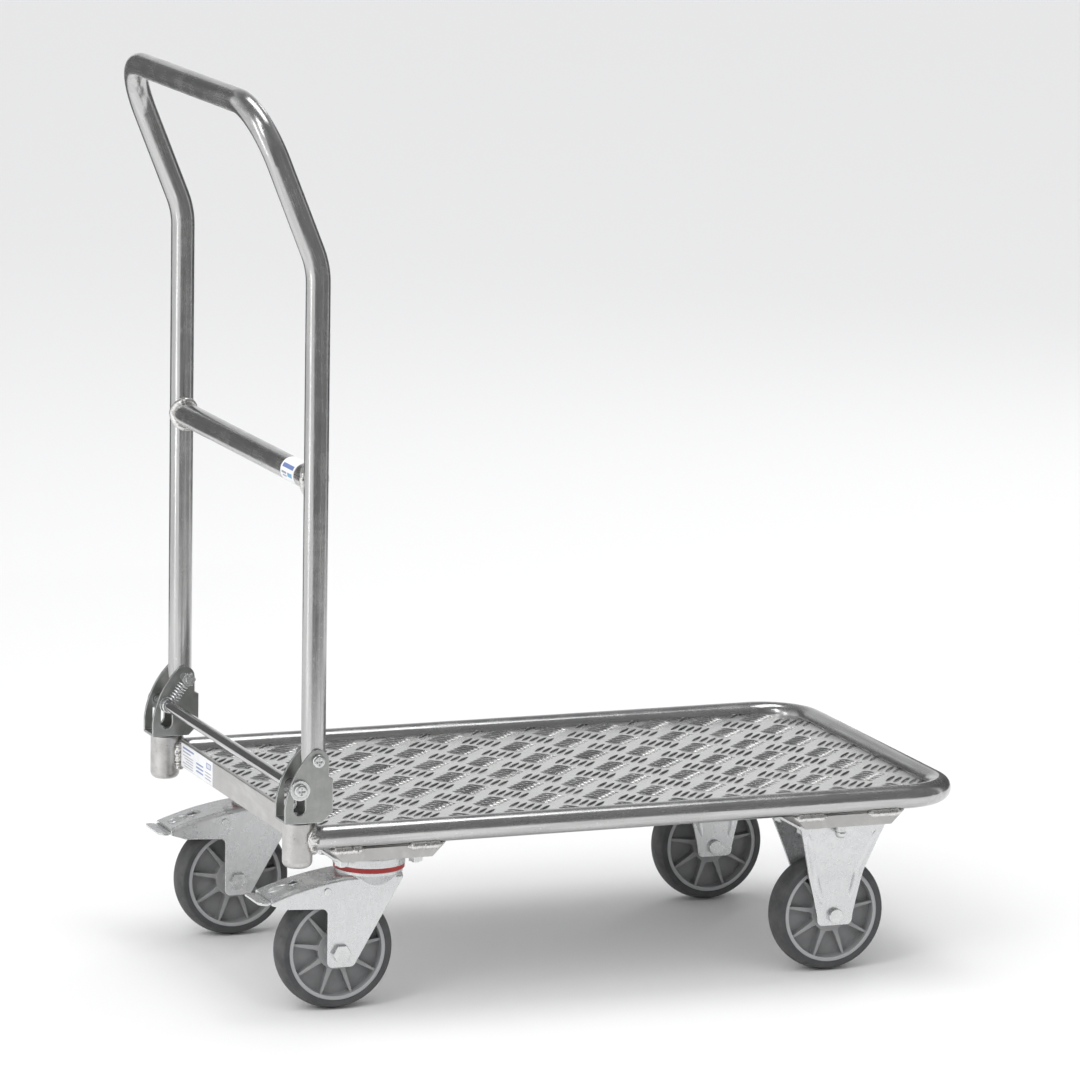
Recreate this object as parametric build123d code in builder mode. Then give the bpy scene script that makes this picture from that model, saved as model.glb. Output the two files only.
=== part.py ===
from build123d import *
from math import cos, radians, sin, sqrt
import os

# Folding platform cart: a bent-tube frame with a sheet deck on four casters, and a push handle
# that folds down over the deck once the foot rod behind it is pressed.
# Millimetres. +X is forward, away from the handle. +Y is the left side. +Z is up.
# The origin is on the floor, under the middle of the whole cart.

# ---------------------------------------------------------------- driving dimensions
# Frame and deck
frame_width = 435.0  # between the axes of the two side tubes
platform_reach = 727.5  # from the hinge axis forward to the outer side of the front tube
frame_tube_diameter = 25.0
frame_tube_wall = 2.0
front_corner_radius = 55.0  # of the tube's axis
deck_thickness = 2.5
deck_rise = 0.25  # middle of the sheet above the tube's axis

# End rail and corner posts at the handle end
rail_setback = 4.0  # rear face of the rail behind the hinge axis
rail_thickness = 5.0
rail_height = 28.0
rail_edge_round = 1.2
post_setback = 16.0  # post axis behind the hinge axis
post_diameter = 31.0
post_above = 17.5  # post top above the frame tube's axis
post_below = 29.0  # post foot below the frame tube's axis
post_foot_round = 7.0

# Cross channels under the side tubes
channel_width = 126.0  # across the top
channel_depth = 14.5
channel_wall = 3.0
channel_overhang = 4.0  # past the side tubes' axes
channel_end_drop = 1.6  # top of the end wall below the tube

# Handle
handle_tube_diameter = 25.0
handle_tube_wall = 2.0
hinge_above_frame = 83.0  # hinge axis above the frame tube's axis
bend_above_hinge = 501.0
handle_bend_radius = 85.0
grip_length = 174.0  # from the bend to the top bar's axis
grip_lean = 22.0  # degrees back from upright
grip_corner_radius = 60.0
crossbar_above_hinge = 284.0
crossbar_diameter = 25.0
crossbar_wall = 2.0

# Hinge brackets and foot rod
bracket_plate = 3.0
bracket_slot_edge = 9.0  # metal behind the slot
bracket_rear_rise = 15.0  # upright part of the rear edge
bracket_back_run = 28.6  # a point on the curved back, behind the hinge axis
bracket_back_drop = 23.0  # and below it
bracket_eye_start = 52.0  # degrees from upright, where the eye's round begins
bracket_shoulder = 2.0
bracket_foot_gap = 1.7  # above the corner post
bracket_eye_radius = 11.5
bracket_web_top = 19.0  # below the hinge axis
bracket_web_foot = 11.0  # above the bracket's underside
bracket_foot_front = 5.0  # ahead of the hinge axis
rod_diameter = 12.0
rod_handle_gap = 1.0  # between the rod and the handle tube
rod_drop = 29.0  # rod axis below the hinge axis
rod_travel = 20.0
rod_washer_diameter = 21.0
rod_inner_washer_diameter = 17.0
washer_thickness = 1.7
bush_diameter = 12.0

# Springs
spring_coil_diameter = 13.0
spring_wire = 1.7
spring_coil_length = 19.0
spring_inset = 9.0  # spring axis inside the bracket's inner face

# Casters
wheel_diameter = 125.0
caster_head_room = 40.0  # from the top of the wheel to the top of the plate
caster_track = 330.0  # between the left and right wheels' middle planes
swivel_ahead = 80.0  # swivel axis ahead of the hinge axis
swivel_trail = 38.5
fixed_ahead = 591.5  # fixed axle ahead of the hinge axis
caster_plate_length = 100.0
caster_plate_width = 85.0
caster_plate_thickness = 3.0
caster_plate_round = 8.0
bolt_spacing_x = 80.0
bolt_spacing_y = 60.0
bolt_past_nut = 1.5
fork_gap = 46.0  # between the inner faces of a fork
fork_wall = 3.0
cup_diameter = 75.0
cup_height = 11.0
seal_height = 5.0
crown_diameter = 70.0
cup_wall = 3.0
seal_wall = 4.0
seal_inset = 0.6
kingpin_diameter = 12.0
kingpin_head_diameter = 22.0
kingpin_head_height = 4.0
crown_thickness = 3.0
crown_flare = 12.0  # height of the slope from the fork's sides out to the crown's rim
race_diameter = 56.0
ball_diameter = 8.0
ball_circle = 46.0
ball_count = 14
fork_front = 28.0  # front top corner of the swivel fork ahead of the swivel axis
fork_tip_back = 114.0  # tip of its roof behind the swivel axis
fork_tip_drop = 19.1  # tip of its roof below the roof's top
fork_arch_run = 81.0  # length of the roof's arch
fork_arch_middle = 40.0  # a point on the arch, ahead of the tip
fork_arch_drop = 7.1  # and below the roof's top
fork_front_edge = 5.0  # height of the front edge under the roof
fork_inner_corner = 47.0  # where leg and beak meet, above the axle
beak_foot_run = 16.0
beak_foot_drop = 11.5  # below the tip
beak_nose_run = 1.0
beak_nose_drop = 6.5
window_length = 11.0  # in the roof
window_width = 8.0
window_ahead = 33.0  # of the tip
fork_roof_round = 4.5
leg_back = 14.5  # rear edge of the leg behind the axle
leg_front = 13.7
leg_below = 15.0
leg_round = 6.0
fixed_leg_top = 48.0  # half width of a fixed fork's leg under its plate
fixed_leg_waist = 31.0
fixed_leg_foot = 20.0
fixed_leg_below = 10.5
fixed_foot_taper = 1.0
fixed_knee_rise = 45.5  # above the axle, where the legs stop sloping inwards
end_stud_diameter = 9.2
end_stud_length = 7.0
end_nut_diameter = 12.6
end_nut_height = 6.0
end_nut_round = 4.5
end_nut_back = 6.0  # behind the fixed axle
end_nut_inset = 1.0
axle_diameter = 10.0
axle_head_height = 5.2
axle_button_diameter = 15.6  # round head on the fixed casters' axles
sleeve_diameter = 14.0

# Wheels
tyre_width = 32.0
tyre_thickness = 10.5
tyre_crown = 4.5
tyre_shoulder_round = 2.0
rim_ring = 4.0
rim_lip = 0.6  # ring short of the tyre's side
web_thickness = 5.0
rib_count = 9
rib_root_width = 10.0
rib_waist_width = 4.6
rib_waist = 24.0  # distance of the waist from the axle
rib_tip_width = 2.2
hub_diameter = 26.0
hub_flange_diameter = 40.0
hub_flange_width = 25.0

# Brake pedals
pedal_pin_diameter = 5.0
pedal_pin_back = 53.4  # pin behind the swivel axis
pedal_pin_rise = 3.0  # pin above the top of the wheel
pedal_plate = 2.5
pedal_slope = 0.19
pedal_neck = 2.5  # where the tongue begins, behind the fork's tip
pedal_plate_run = 46.0  # plate ahead of the fork's tip
pedal_head_room = 0.8  # under the roof
tongue_lift = 1.0
ear_root = 12.0
ear_waist = 1.0
pedal_tip_reach = 127.0  # pedal tip behind the swivel axis
pedal_tip_width = 50.0
pedal_ear = 2.5
pedal_eye_radius = 5.5
pedal_pin_head = 1.2
shoe_width = 28.0
shoe_length = 14.0
shoe_setback = 5.0  # behind the plate's front end
shoe_gap = 5.0  # shoe off the tyre with the brake released

# Fasteners
m8 = 8.0
m8_across_flats = 13.0
m8_head = 5.3
m8_low_head = 4.5
m8_nut = 6.5
m10_across_flats = 17.0
pan_head_diameter = 14.0
pan_head_height = 4.0
recess_depth = 2.4
recess_width = 2.0
recess_length = 8.0

# Labels
label_thickness = 0.3
rail_label_length = 106.0
rail_label_margin = 8.0
bar_label_length = 40.0
bar_label_inset = 34.0
bar_label_middle = 150.0  # degrees up from forward, round the crossbar
bar_label_arc = 75.0  # degrees each way from its middle

# Clearances
seat = 0.05  # between parts fixed to each other
running = 0.05  # radial, shaft in bearing
side_play = 0.5  # beside a part that turns
slot_play = 0.5  # each side of the rod in its slot
swivel_gap = 0.4  # between the turning and the standing half of a swivel head

# ---------------------------------------------------------------- derived places
frame_radius = frame_tube_diameter / 2
side_y = frame_width / 2
caster_height = wheel_diameter + caster_head_room
frame_z = caster_height + channel_depth + frame_radius
deck_z = frame_z + deck_rise

handle_radius = handle_tube_diameter / 2
hinge_height = frame_z + hinge_above_frame
handle_bend_height = hinge_height + bend_above_hinge
crossbar_height = hinge_height + crossbar_above_hinge
grip_back = grip_length * sin(radians(grip_lean))
handle_top = handle_bend_height + grip_length * cos(radians(grip_lean))
hinge_x = -(platform_reach - grip_back - handle_radius) / 2
grip_x = hinge_x - grip_back

front_x = hinge_x + platform_reach - frame_radius
post_x = hinge_x - post_setback
post_radius = post_diameter / 2
post_top = frame_z + post_above
post_foot = frame_z - post_below
rail_x = hinge_x - rail_setback
rail_front = rail_x + rail_thickness

bracket_foot = post_top + bracket_foot_gap
bracket_gap = handle_tube_diameter + 2 * side_play
plate_inner = side_y - bracket_gap / 2 - bracket_plate  # inboard face of the inboard plate
plate_outer = side_y + bracket_gap / 2 + bracket_plate  # outboard face of the outboard plate
rod_setback = handle_radius + rod_diameter / 2 + rod_handle_gap
bracket_rear = rod_setback + rod_diameter / 2 + slot_play + bracket_slot_edge
spring_reach = sqrt(rod_setback**2 + rod_drop**2)
tail_sweep = spring_reach - rod_diameter / 2 - rod_handle_gap
handle_tail = sqrt(tail_sweep**2 - handle_radius**2)  # tube below the hinge axis, clear of the rod
rod_x = hinge_x - rod_setback
rod_z = hinge_height - rod_drop
rod_end = plate_outer + swivel_gap

wheel_radius = wheel_diameter / 2
caster_y = caster_track / 2
swivel_x = hinge_x + swivel_ahead
rear_axle_x = swivel_x - swivel_trail
front_axle_x = hinge_x + fixed_ahead
plate_z = caster_height - caster_plate_thickness
cup_z = plate_z - cup_height
seal_z = cup_z - seal_height
crown_z = seal_z - swivel_gap
roof_z = crown_z - crown_thickness
roof_inner_z = roof_z - fork_wall
kingpin_foot = roof_inner_z - swivel_gap
race_z = cup_z - swivel_gap / 2
ball_z = plate_z - cup_wall - ball_diameter / 2 - seat
fork_half = fork_gap / 2 + fork_wall
fork_tip_z = roof_z - fork_tip_drop
fork_corner_z = wheel_radius + fork_inner_corner
leg_foot_z = wheel_radius - leg_below
pin_x = swivel_x - pedal_pin_back
pedal_pin_height = wheel_diameter + pedal_pin_rise

SIDES = ((1, "left"), (-1, "right"))


# ---------------------------------------------------------------- helpers
def upright(y):
    """A plane facing -Y at this y, with X across and Z up."""
    return Plane.XZ.offset(-y)


def save(builder, name):
    """Label a finished piece and write it."""
    builder.part.label = name
    export_step(builder.part, f"parts/{name}.step")


def bar_y(x, z, radius, y_low, y_high, mode=Mode.ADD):
    """A round bar along Y, in the part being built."""
    with BuildSketch(upright(y_high)) as section:
        with Locations((x, z)):
            Circle(radius)
    extrude(section.sketch, amount=y_high - y_low, mode=mode)


def ring_y(x, z, outer, inner, y_low, y_high):
    """A washer or sleeve along Y, in the part being built."""
    with BuildSketch(upright(y_high)) as section:
        with Locations((x, z)):
            Circle(outer)
            Circle(inner, mode=Mode.SUBTRACT)
    extrude(section.sketch, amount=y_high - y_low)


def hex_y(x, z, across_flats, y_low, y_high):
    """A hexagon head or nut along Y, in the part being built."""
    with BuildSketch(upright(y_high)) as section:
        with Locations((x, z)):
            RegularPolygon(across_flats / 2, 6, major_radius=False)
    extrude(section.sketch, amount=y_high - y_low)


def span(side, near, far):
    """Lower and upper y of something between two distances from the middle, on one side."""
    return (near, far) if side > 0 else (-far, -near)


def pan_head(x, z, side, seat_y):
    """A domed screw head with a cross recess, its flat seat at this distance from the middle."""
    face = seat_y + pan_head_height
    bar_y(x, z, pan_head_diameter / 2, *span(side, seat_y, face))
    outermost = edges(Select.LAST).sort_by(Axis.Y)[-1 if side > 0 else 0]
    fillet(outermost, pan_head_height * 0.6)
    with BuildSketch(upright(side * face)) as recess:
        with Locations((x, z)):
            Rectangle(recess_length, recess_width)
            Rectangle(recess_width, recess_length)
    extrude(recess.sketch, amount=side * recess_depth, mode=Mode.SUBTRACT)


os.makedirs("parts", exist_ok=True)

# ---------------------------------------------------------------- frame
# One tube bent into a U: two side tubes and the front tube. Its rear ends are cut to fit the posts.
with BuildPart() as frame_tube:
    with BuildLine():
        FilletPolyline(
            (post_x, side_y, frame_z),
            (front_x, side_y, frame_z),
            (front_x, -side_y, frame_z),
            (post_x, -side_y, frame_z),
            radius=front_corner_radius,
        )
    with BuildSketch(Plane(origin=(post_x, side_y, frame_z), z_dir=(1, 0, 0))):
        Circle(frame_radius)
        Circle(frame_radius - frame_tube_wall, mode=Mode.SUBTRACT)
    sweep()
    with Locations((post_x, side_y, frame_z), (post_x, -side_y, frame_z)):
        Cylinder(post_radius + seat, 2 * post_diameter, mode=Mode.SUBTRACT)
save(frame_tube, "frame_tube")

# The deck is a sheet let in level with the middle of the tubes.
deck_edge = side_y - frame_radius - seat
deck_front = front_x - frame_radius - seat
with BuildPart() as deck_sheet:
    with BuildSketch(Plane.XY.offset(deck_z - deck_thickness / 2)) as deck_outline:
        with Locations(((rail_front + seat + deck_front) / 2, 0)):
            Rectangle(deck_front - rail_front - seat, 2 * deck_edge)
        front_corners = deck_outline.vertices().group_by(Axis.X)[-1]
        fillet(front_corners, front_corner_radius - frame_radius - seat)
    extrude(amount=deck_thickness)
save(deck_sheet, "deck_sheet")

# A flat bar on edge closes the handle end.
with BuildPart() as end_rail:
    with Locations(((rail_x + rail_front) / 2, 0, frame_z)):
        Box(rail_thickness, 2 * deck_edge, rail_height)
    fillet(end_rail.edges().filter_by(Axis.Y), rail_edge_round)
save(end_rail, "end_rail")

# Corner posts: round stubs with a closed, rounded foot, tapped from above for the bracket screw.
tap_depth = 26.0
for side, hand in SIDES:
    with BuildPart() as corner_post:
        with BuildSketch(Plane.XY.offset(post_foot)):
            with Locations((post_x, side * side_y)):
                Circle(post_radius)
        extrude(amount=post_top - post_foot)
        fillet(corner_post.edges().sort_by(Axis.Z)[0], post_foot_round)
        with BuildSketch(Plane.XY.offset(post_top)):
            with Locations((post_x, side * side_y)):
                Circle(m8 / 2 + seat)
        extrude(amount=-tap_depth, mode=Mode.SUBTRACT)
    save(corner_post, f"corner_post_{hand}")

# Cross channels: shallow trays with sloping sides and closed ends, welded under the side tubes.
channel_y = side_y + channel_overhang
channel_top = caster_height + channel_depth - seat
channel_floor = channel_width / 2 - channel_depth  # half width of the flat floor
channel_skin = channel_wall * (sqrt(2) - 1)  # how much further in the sloping wall's foot lies
for channel_x, channel_name in ((swivel_x, "rear_channel"), (front_axle_x, "front_channel")):
    with BuildPart() as channel:
        with BuildSketch(Plane.XZ):
            with Locations((channel_x, 0)):
                Polygon(
                    (-channel_width / 2, channel_top),
                    (-channel_floor, caster_height),
                    (channel_floor, caster_height),
                    (channel_width / 2, channel_top),
                    (channel_width / 2 - channel_wall * sqrt(2), channel_top),
                    (channel_floor - channel_skin, caster_height + channel_wall),
                    (-channel_floor + channel_skin, caster_height + channel_wall),
                    (-channel_width / 2 + channel_wall * sqrt(2), channel_top),
                    align=None,
                )
        extrude(amount=channel_y, both=True)
        for side, hand in SIDES:
            with BuildSketch(upright(side * channel_y)):
                with Locations((channel_x, 0)):
                    Polygon(
                        (-channel_width / 2 + channel_end_drop, channel_top - channel_end_drop),
                        (-channel_floor, caster_height),
                        (channel_floor, caster_height),
                        (channel_width / 2 - channel_end_drop, channel_top - channel_end_drop),
                        align=None,
                    )
            extrude(amount=side * channel_wall)
        with BuildSketch(Plane.XY.offset(caster_height)):
            with Locations((channel_x, caster_y), (channel_x, -caster_y)):
                with GridLocations(bolt_spacing_x, bolt_spacing_y, 2, 2):
                    Circle(m8 / 2 + side_play)
        extrude(amount=channel_wall, mode=Mode.SUBTRACT)
    save(channel, channel_name)

# ---------------------------------------------------------------- hinge brackets
# Each is a plate folded into a U round the handle tube: two cheeks, a web in front and a foot
# that is screwed down on the corner post. The slot guides the foot rod.
web_front = hinge_x + bracket_gap / 2 + bracket_plate
cheek_top = hinge_height + bracket_eye_radius
for side, hand in SIDES:
    with BuildPart() as hinge_bracket:
        with BuildSketch(upright(side * plate_inner)) as cheek:
            with BuildLine():
                rear_line = Line(
                    (hinge_x - bracket_rear, bracket_foot),
                    (hinge_x - bracket_rear, bracket_foot + bracket_rear_rise),
                )
                eye_start = (
                    hinge_x - bracket_eye_radius * sin(radians(bracket_eye_start)),
                    hinge_height + bracket_eye_radius * cos(radians(bracket_eye_start)),
                )
                ThreePointArc(
                    rear_line @ 1,
                    (hinge_x - bracket_back_run, hinge_height - bracket_back_drop),
                    eye_start,
                )
                eye = ThreePointArc(
                    eye_start,
                    (hinge_x, cheek_top),
                    (hinge_x + bracket_eye_radius, hinge_height),
                )
                Polyline(
                    eye @ 1,
                    (hinge_x + bracket_eye_radius, hinge_height - bracket_web_top + bracket_shoulder),
                    (web_front, hinge_height - bracket_web_top),
                    (web_front, bracket_foot + bracket_web_foot),
                    (hinge_x + bracket_foot_front, bracket_foot),
                    rear_line @ 0,
                )
            make_face()
            with Locations((rod_x, rod_z - rod_travel / 2)):
                SlotCenterToCenter(
                    rod_travel, rod_diameter + 2 * slot_play, rotation=90, mode=Mode.SUBTRACT
                )
            with Locations((hinge_x, hinge_height)):
                Circle(m8 / 2 + seat, mode=Mode.SUBTRACT)
        extrude(amount=-side * bracket_plate)
        extrude(
            cheek.sketch.moved(Location((0, side * (bracket_gap + bracket_plate), 0))),
            amount=-side * bracket_plate,
        )
        web_height = hinge_height - bracket_web_top - bracket_foot - bracket_web_foot
        with Locations(
            (web_front - bracket_plate / 2, side * side_y, bracket_foot + bracket_web_foot + web_height / 2)
        ):
            Box(bracket_plate, bracket_gap, web_height)
        foot_length = bracket_rear + bracket_foot_front
        with BuildSketch(Plane.XY.offset(bracket_foot)):
            with Locations((hinge_x - bracket_rear + foot_length / 2, side * side_y)):
                Rectangle(foot_length, bracket_gap)
            with Locations((post_x, side * side_y)):
                Circle(m8 / 2 + seat, mode=Mode.SUBTRACT)
        extrude(amount=bracket_plate)
    save(hinge_bracket, f"hinge_bracket_{hand}")

# The screws that hold the brackets down, each through a spacing washer into its post.
screw_depth = 22.0
with BuildPart() as bracket_screws:
    for side, hand in SIDES:
        with BuildSketch(Plane.XY.offset(bracket_foot + bracket_plate)):
            with Locations((post_x, side * side_y)):
                RegularPolygon(m8_across_flats / 2, 6, major_radius=False)
        extrude(amount=m8_low_head)
        with BuildSketch(Plane.XY.offset(bracket_foot + bracket_plate)):
            with Locations((post_x, side * side_y)):
                Circle(m8 / 2)
        extrude(amount=-screw_depth)
save(bracket_screws, "bracket_screws")

with BuildPart() as bracket_washers:
    with BuildSketch(Plane.XY.offset(post_top)):
        with Locations((post_x, side_y), (post_x, -side_y)):
            Circle(rod_washer_diameter / 2)
            Circle(m8 / 2 + seat, mode=Mode.SUBTRACT)
    extrude(amount=bracket_foot_gap)
save(bracket_washers, "bracket_washers")

# Hinge bolts, domed head outside and nut inside. The shank also carries the spring's upper loop.
spring_y = plate_inner - spring_inset
nut_face = spring_y - spring_wire / 2 - side_play
with BuildPart() as hinge_bolts:
    for side, hand in SIDES:
        pan_head(hinge_x, hinge_height, side, plate_outer)
        bar_y(hinge_x, hinge_height, m8 / 2, *span(side, nut_face - m8_nut - bolt_past_nut, plate_outer))
save(hinge_bolts, "hinge_bolts")

with BuildPart() as hinge_nuts:
    for side, hand in SIDES:
        hex_y(hinge_x, hinge_height, m8_across_flats, *span(side, nut_face - m8_nut, nut_face))
        bar_y(
            hinge_x,
            hinge_height,
            m8 / 2 + seat,
            *span(side, nut_face - m8_nut, nut_face),
            mode=Mode.SUBTRACT,
        )
save(hinge_nuts, "hinge_nuts")

# Data label on the rear of the end rail, near the left post.
with BuildPart() as rail_label:
    with Locations(
        (
            rail_x - label_thickness / 2,
            deck_edge - rail_label_margin - rail_label_length / 2,
            frame_z,
        )
    ):
        Box(label_thickness, rail_label_length, rail_height - 2 * rail_edge_round)
save(rail_label, "rail_label")

# ---------------------------------------------------------------- handle
# One tube bent into a tall U that leans back at the grip.
with BuildPart() as handle_tube:
    with BuildLine():
        FilletPolyline(
            (hinge_x, side_y, hinge_height - handle_tail),
            (hinge_x, side_y, handle_bend_height),
            (grip_x, side_y, handle_top),
            (grip_x, -side_y, handle_top),
            (hinge_x, -side_y, handle_bend_height),
            (hinge_x, -side_y, hinge_height - handle_tail),
            radius=[handle_bend_radius, grip_corner_radius, grip_corner_radius, handle_bend_radius],
        )
    with BuildSketch(Plane.XY.offset(hinge_height - handle_tail)):
        with Locations((hinge_x, side_y)):
            Circle(handle_radius)
            Circle(handle_radius - handle_tube_wall, mode=Mode.SUBTRACT)
    sweep()
    bar_y(
        hinge_x,
        hinge_height,
        bush_diameter / 2,
        -side_y - handle_tube_diameter,
        side_y + handle_tube_diameter,
        mode=Mode.SUBTRACT,
    )
save(handle_tube, "handle_tube")

# Crossbar with ends cut to the handle tube's round.
with BuildPart() as handle_crossbar:
    ring_y(
        hinge_x,
        crossbar_height,
        crossbar_diameter / 2,
        crossbar_diameter / 2 - crossbar_wall,
        -side_y,
        side_y,
    )
    with Locations((hinge_x, side_y, crossbar_height), (hinge_x, -side_y, crossbar_height)):
        Cylinder(handle_radius + seat, 4 * crossbar_diameter, mode=Mode.SUBTRACT)
save(handle_crossbar, "handle_crossbar")

with BuildPart() as hinge_bushes:
    for side, hand in SIDES:
        ring_y(
            hinge_x,
            hinge_height,
            bush_diameter / 2 - seat,
            m8 / 2 + running,
            *span(side, side_y - handle_radius, side_y + handle_radius),
        )
save(hinge_bushes, "hinge_bushes")

# Paper label wrapped part of the way round the crossbar, near its right end.
label_y = -side_y + bar_label_inset
with BuildPart() as bar_label:
    with BuildSketch(upright(label_y + bar_label_length)):
        with Locations((hinge_x, crossbar_height)):
            Circle(crossbar_diameter / 2 + label_thickness)
            Circle(crossbar_diameter / 2 + seat, mode=Mode.SUBTRACT)
            label_wedge = [(0.0, 0.0)] + [
                (
                    2 * crossbar_diameter * cos(radians(bar_label_middle + turn)),
                    2 * crossbar_diameter * sin(radians(bar_label_middle + turn)),
                )
                for turn in (-bar_label_arc, 0, bar_label_arc)
            ]
            Polygon(*label_wedge, align=None, mode=Mode.INTERSECT)
    extrude(amount=bar_label_length)
save(bar_label, "bar_label")

# ---------------------------------------------------------------- foot rod and its springs
with BuildPart() as foot_rod:
    bar_y(rod_x, rod_z, rod_diameter / 2, -rod_end, rod_end)
save(foot_rod, "foot_rod")

with BuildPart() as rod_washers:
    for side, hand in SIDES:
        inner_face = plate_inner - swivel_gap
        ring_y(
            rod_x,
            rod_z,
            rod_inner_washer_diameter / 2,
            rod_diameter / 2 + seat,
            *span(side, inner_face - washer_thickness, inner_face),
        )
        ring_y(
            rod_x,
            rod_z,
            rod_washer_diameter / 2,
            m8 / 2 + seat,
            *span(side, rod_end, rod_end + washer_thickness),
        )
save(rod_washers, "rod_washers")

with BuildPart() as rod_screws:
    for side, hand in SIDES:
        pan_head(rod_x, rod_z, side, rod_end + washer_thickness)
        bar_y(rod_x, rod_z, m8 / 2, *span(side, rod_end, rod_end + washer_thickness))
save(rod_screws, "rod_screws")

# Each spring pulls the rod up: a coil between two loops, one round the hinge bolt's shank and one
# round the rod. The coil is a plain sleeve here, its wire's outer and inner size.
rod_way = Vector(-rod_setback, 0, -rod_drop).normalized()
coil_start = (spring_reach - spring_coil_length) / 2
for side, hand in SIDES:
    top = Vector(hinge_x, side * spring_y, hinge_height)
    with BuildPart() as spring:
        with BuildSketch(Plane(origin=top + rod_way * coil_start, z_dir=rod_way)):
            Circle(spring_coil_diameter / 2)
            Circle(spring_coil_diameter / 2 - spring_wire, mode=Mode.SUBTRACT)
        extrude(amount=spring_coil_length)
        for loop_x, loop_z, held_radius, along in (
            (hinge_x, hinge_height, m8 / 2, coil_start),
            (rod_x, rod_z, rod_diameter / 2, spring_reach - coil_start),
        ):
            loop_radius = held_radius + side_play / 2 + spring_wire / 2
            with Locations(Location((loop_x, side * spring_y, loop_z), (90, 0, 0))):
                Torus(loop_radius, spring_wire / 2)
            loop_middle = Vector(loop_x, side * spring_y, loop_z)
            towards = (top + rod_way * along - loop_middle).normalized()
            with BuildSketch(Plane(origin=loop_middle + towards * loop_radius, z_dir=towards)):
                Circle(spring_wire / 2)
            extrude(amount=coil_start + spring_wire - loop_radius)
            with BuildSketch(Plane(origin=top + rod_way * along, z_dir=-towards)):
                Circle(spring_coil_diameter / 2)
            extrude(amount=-spring_wire)
    save(spring, f"spring_{hand}")

# ---------------------------------------------------------------- swivel casters, standing half
# The standing half, screwed to the rear channel: plate, ball cup, seal and kingpin.
for side, hand in SIDES:
    head = (swivel_x, side * caster_y)
    with BuildPart() as swivel_plate:
        with BuildSketch(Plane.XY.offset(plate_z)) as plate_outline:
            with Locations(head):
                Rectangle(caster_plate_length, caster_plate_width)
            fillet(plate_outline.vertices(), caster_plate_round)
            with Locations(head):
                with GridLocations(bolt_spacing_x, bolt_spacing_y, 2, 2):
                    Circle(m8 / 2 + side_play, mode=Mode.SUBTRACT)
        extrude(amount=caster_plate_thickness)
    save(swivel_plate, f"swivel_plate_{hand}")

    with BuildPart() as swivel_cup:
        with BuildSketch(Plane.XY.offset(cup_z)):
            with Locations(head):
                Circle(cup_diameter / 2)
        extrude(amount=cup_height)
        fillet(swivel_cup.edges().sort_by(Axis.Z)[-1], cup_wall)
        with BuildSketch(Plane.XY.offset(cup_z)):
            with Locations(head):
                Circle(cup_diameter / 2 - cup_wall)
        extrude(amount=cup_height - cup_wall, mode=Mode.SUBTRACT)
        with BuildSketch(Plane.XY.offset(cup_z)):
            with Locations(head):
                Circle(kingpin_diameter / 2 + seat)
        extrude(amount=cup_height, mode=Mode.SUBTRACT)
    save(swivel_cup, f"swivel_cup_{hand}")

with BuildPart() as swivel_seals:
    for side, hand in SIDES:
        with BuildSketch(Plane.XY.offset(seal_z)):
            with Locations((swivel_x, side * caster_y)):
                Circle(cup_diameter / 2 - seal_inset)
                Circle(cup_diameter / 2 - seal_inset - seal_wall, mode=Mode.SUBTRACT)
        extrude(amount=seal_height)
        foot_edges = swivel_seals.edges(Select.LAST).group_by(Axis.Z)[0]
        fillet(foot_edges.sort_by(SortBy.LENGTH)[-1], seal_inset)
save(swivel_seals, "swivel_seals")

with BuildPart() as kingpins:
    for side, hand in SIDES:
        with BuildSketch(Plane.XY.offset(plate_z)):
            with Locations((swivel_x, side * caster_y)):
                Circle(kingpin_diameter / 2)
        extrude(amount=-(plate_z - kingpin_foot))
        with BuildSketch(Plane.XY.offset(kingpin_foot)):
            with Locations((swivel_x, side * caster_y)):
                Circle(kingpin_head_diameter / 2)
        extrude(amount=-kingpin_head_height)
        fillet(kingpins.edges(Select.LAST).sort_by(Axis.Z)[0], kingpin_head_height / 2)
save(kingpins, "kingpins")

# A ring of balls between each cup and the fork's race lets the fork turn.
with BuildPart() as swivel_balls:
    with Locations((swivel_x, caster_y, ball_z), (swivel_x, -caster_y, ball_z)):
        with PolarLocations(ball_circle / 2, ball_count):
            Sphere(ball_diameter / 2)
save(swivel_balls, "swivel_balls")

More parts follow.
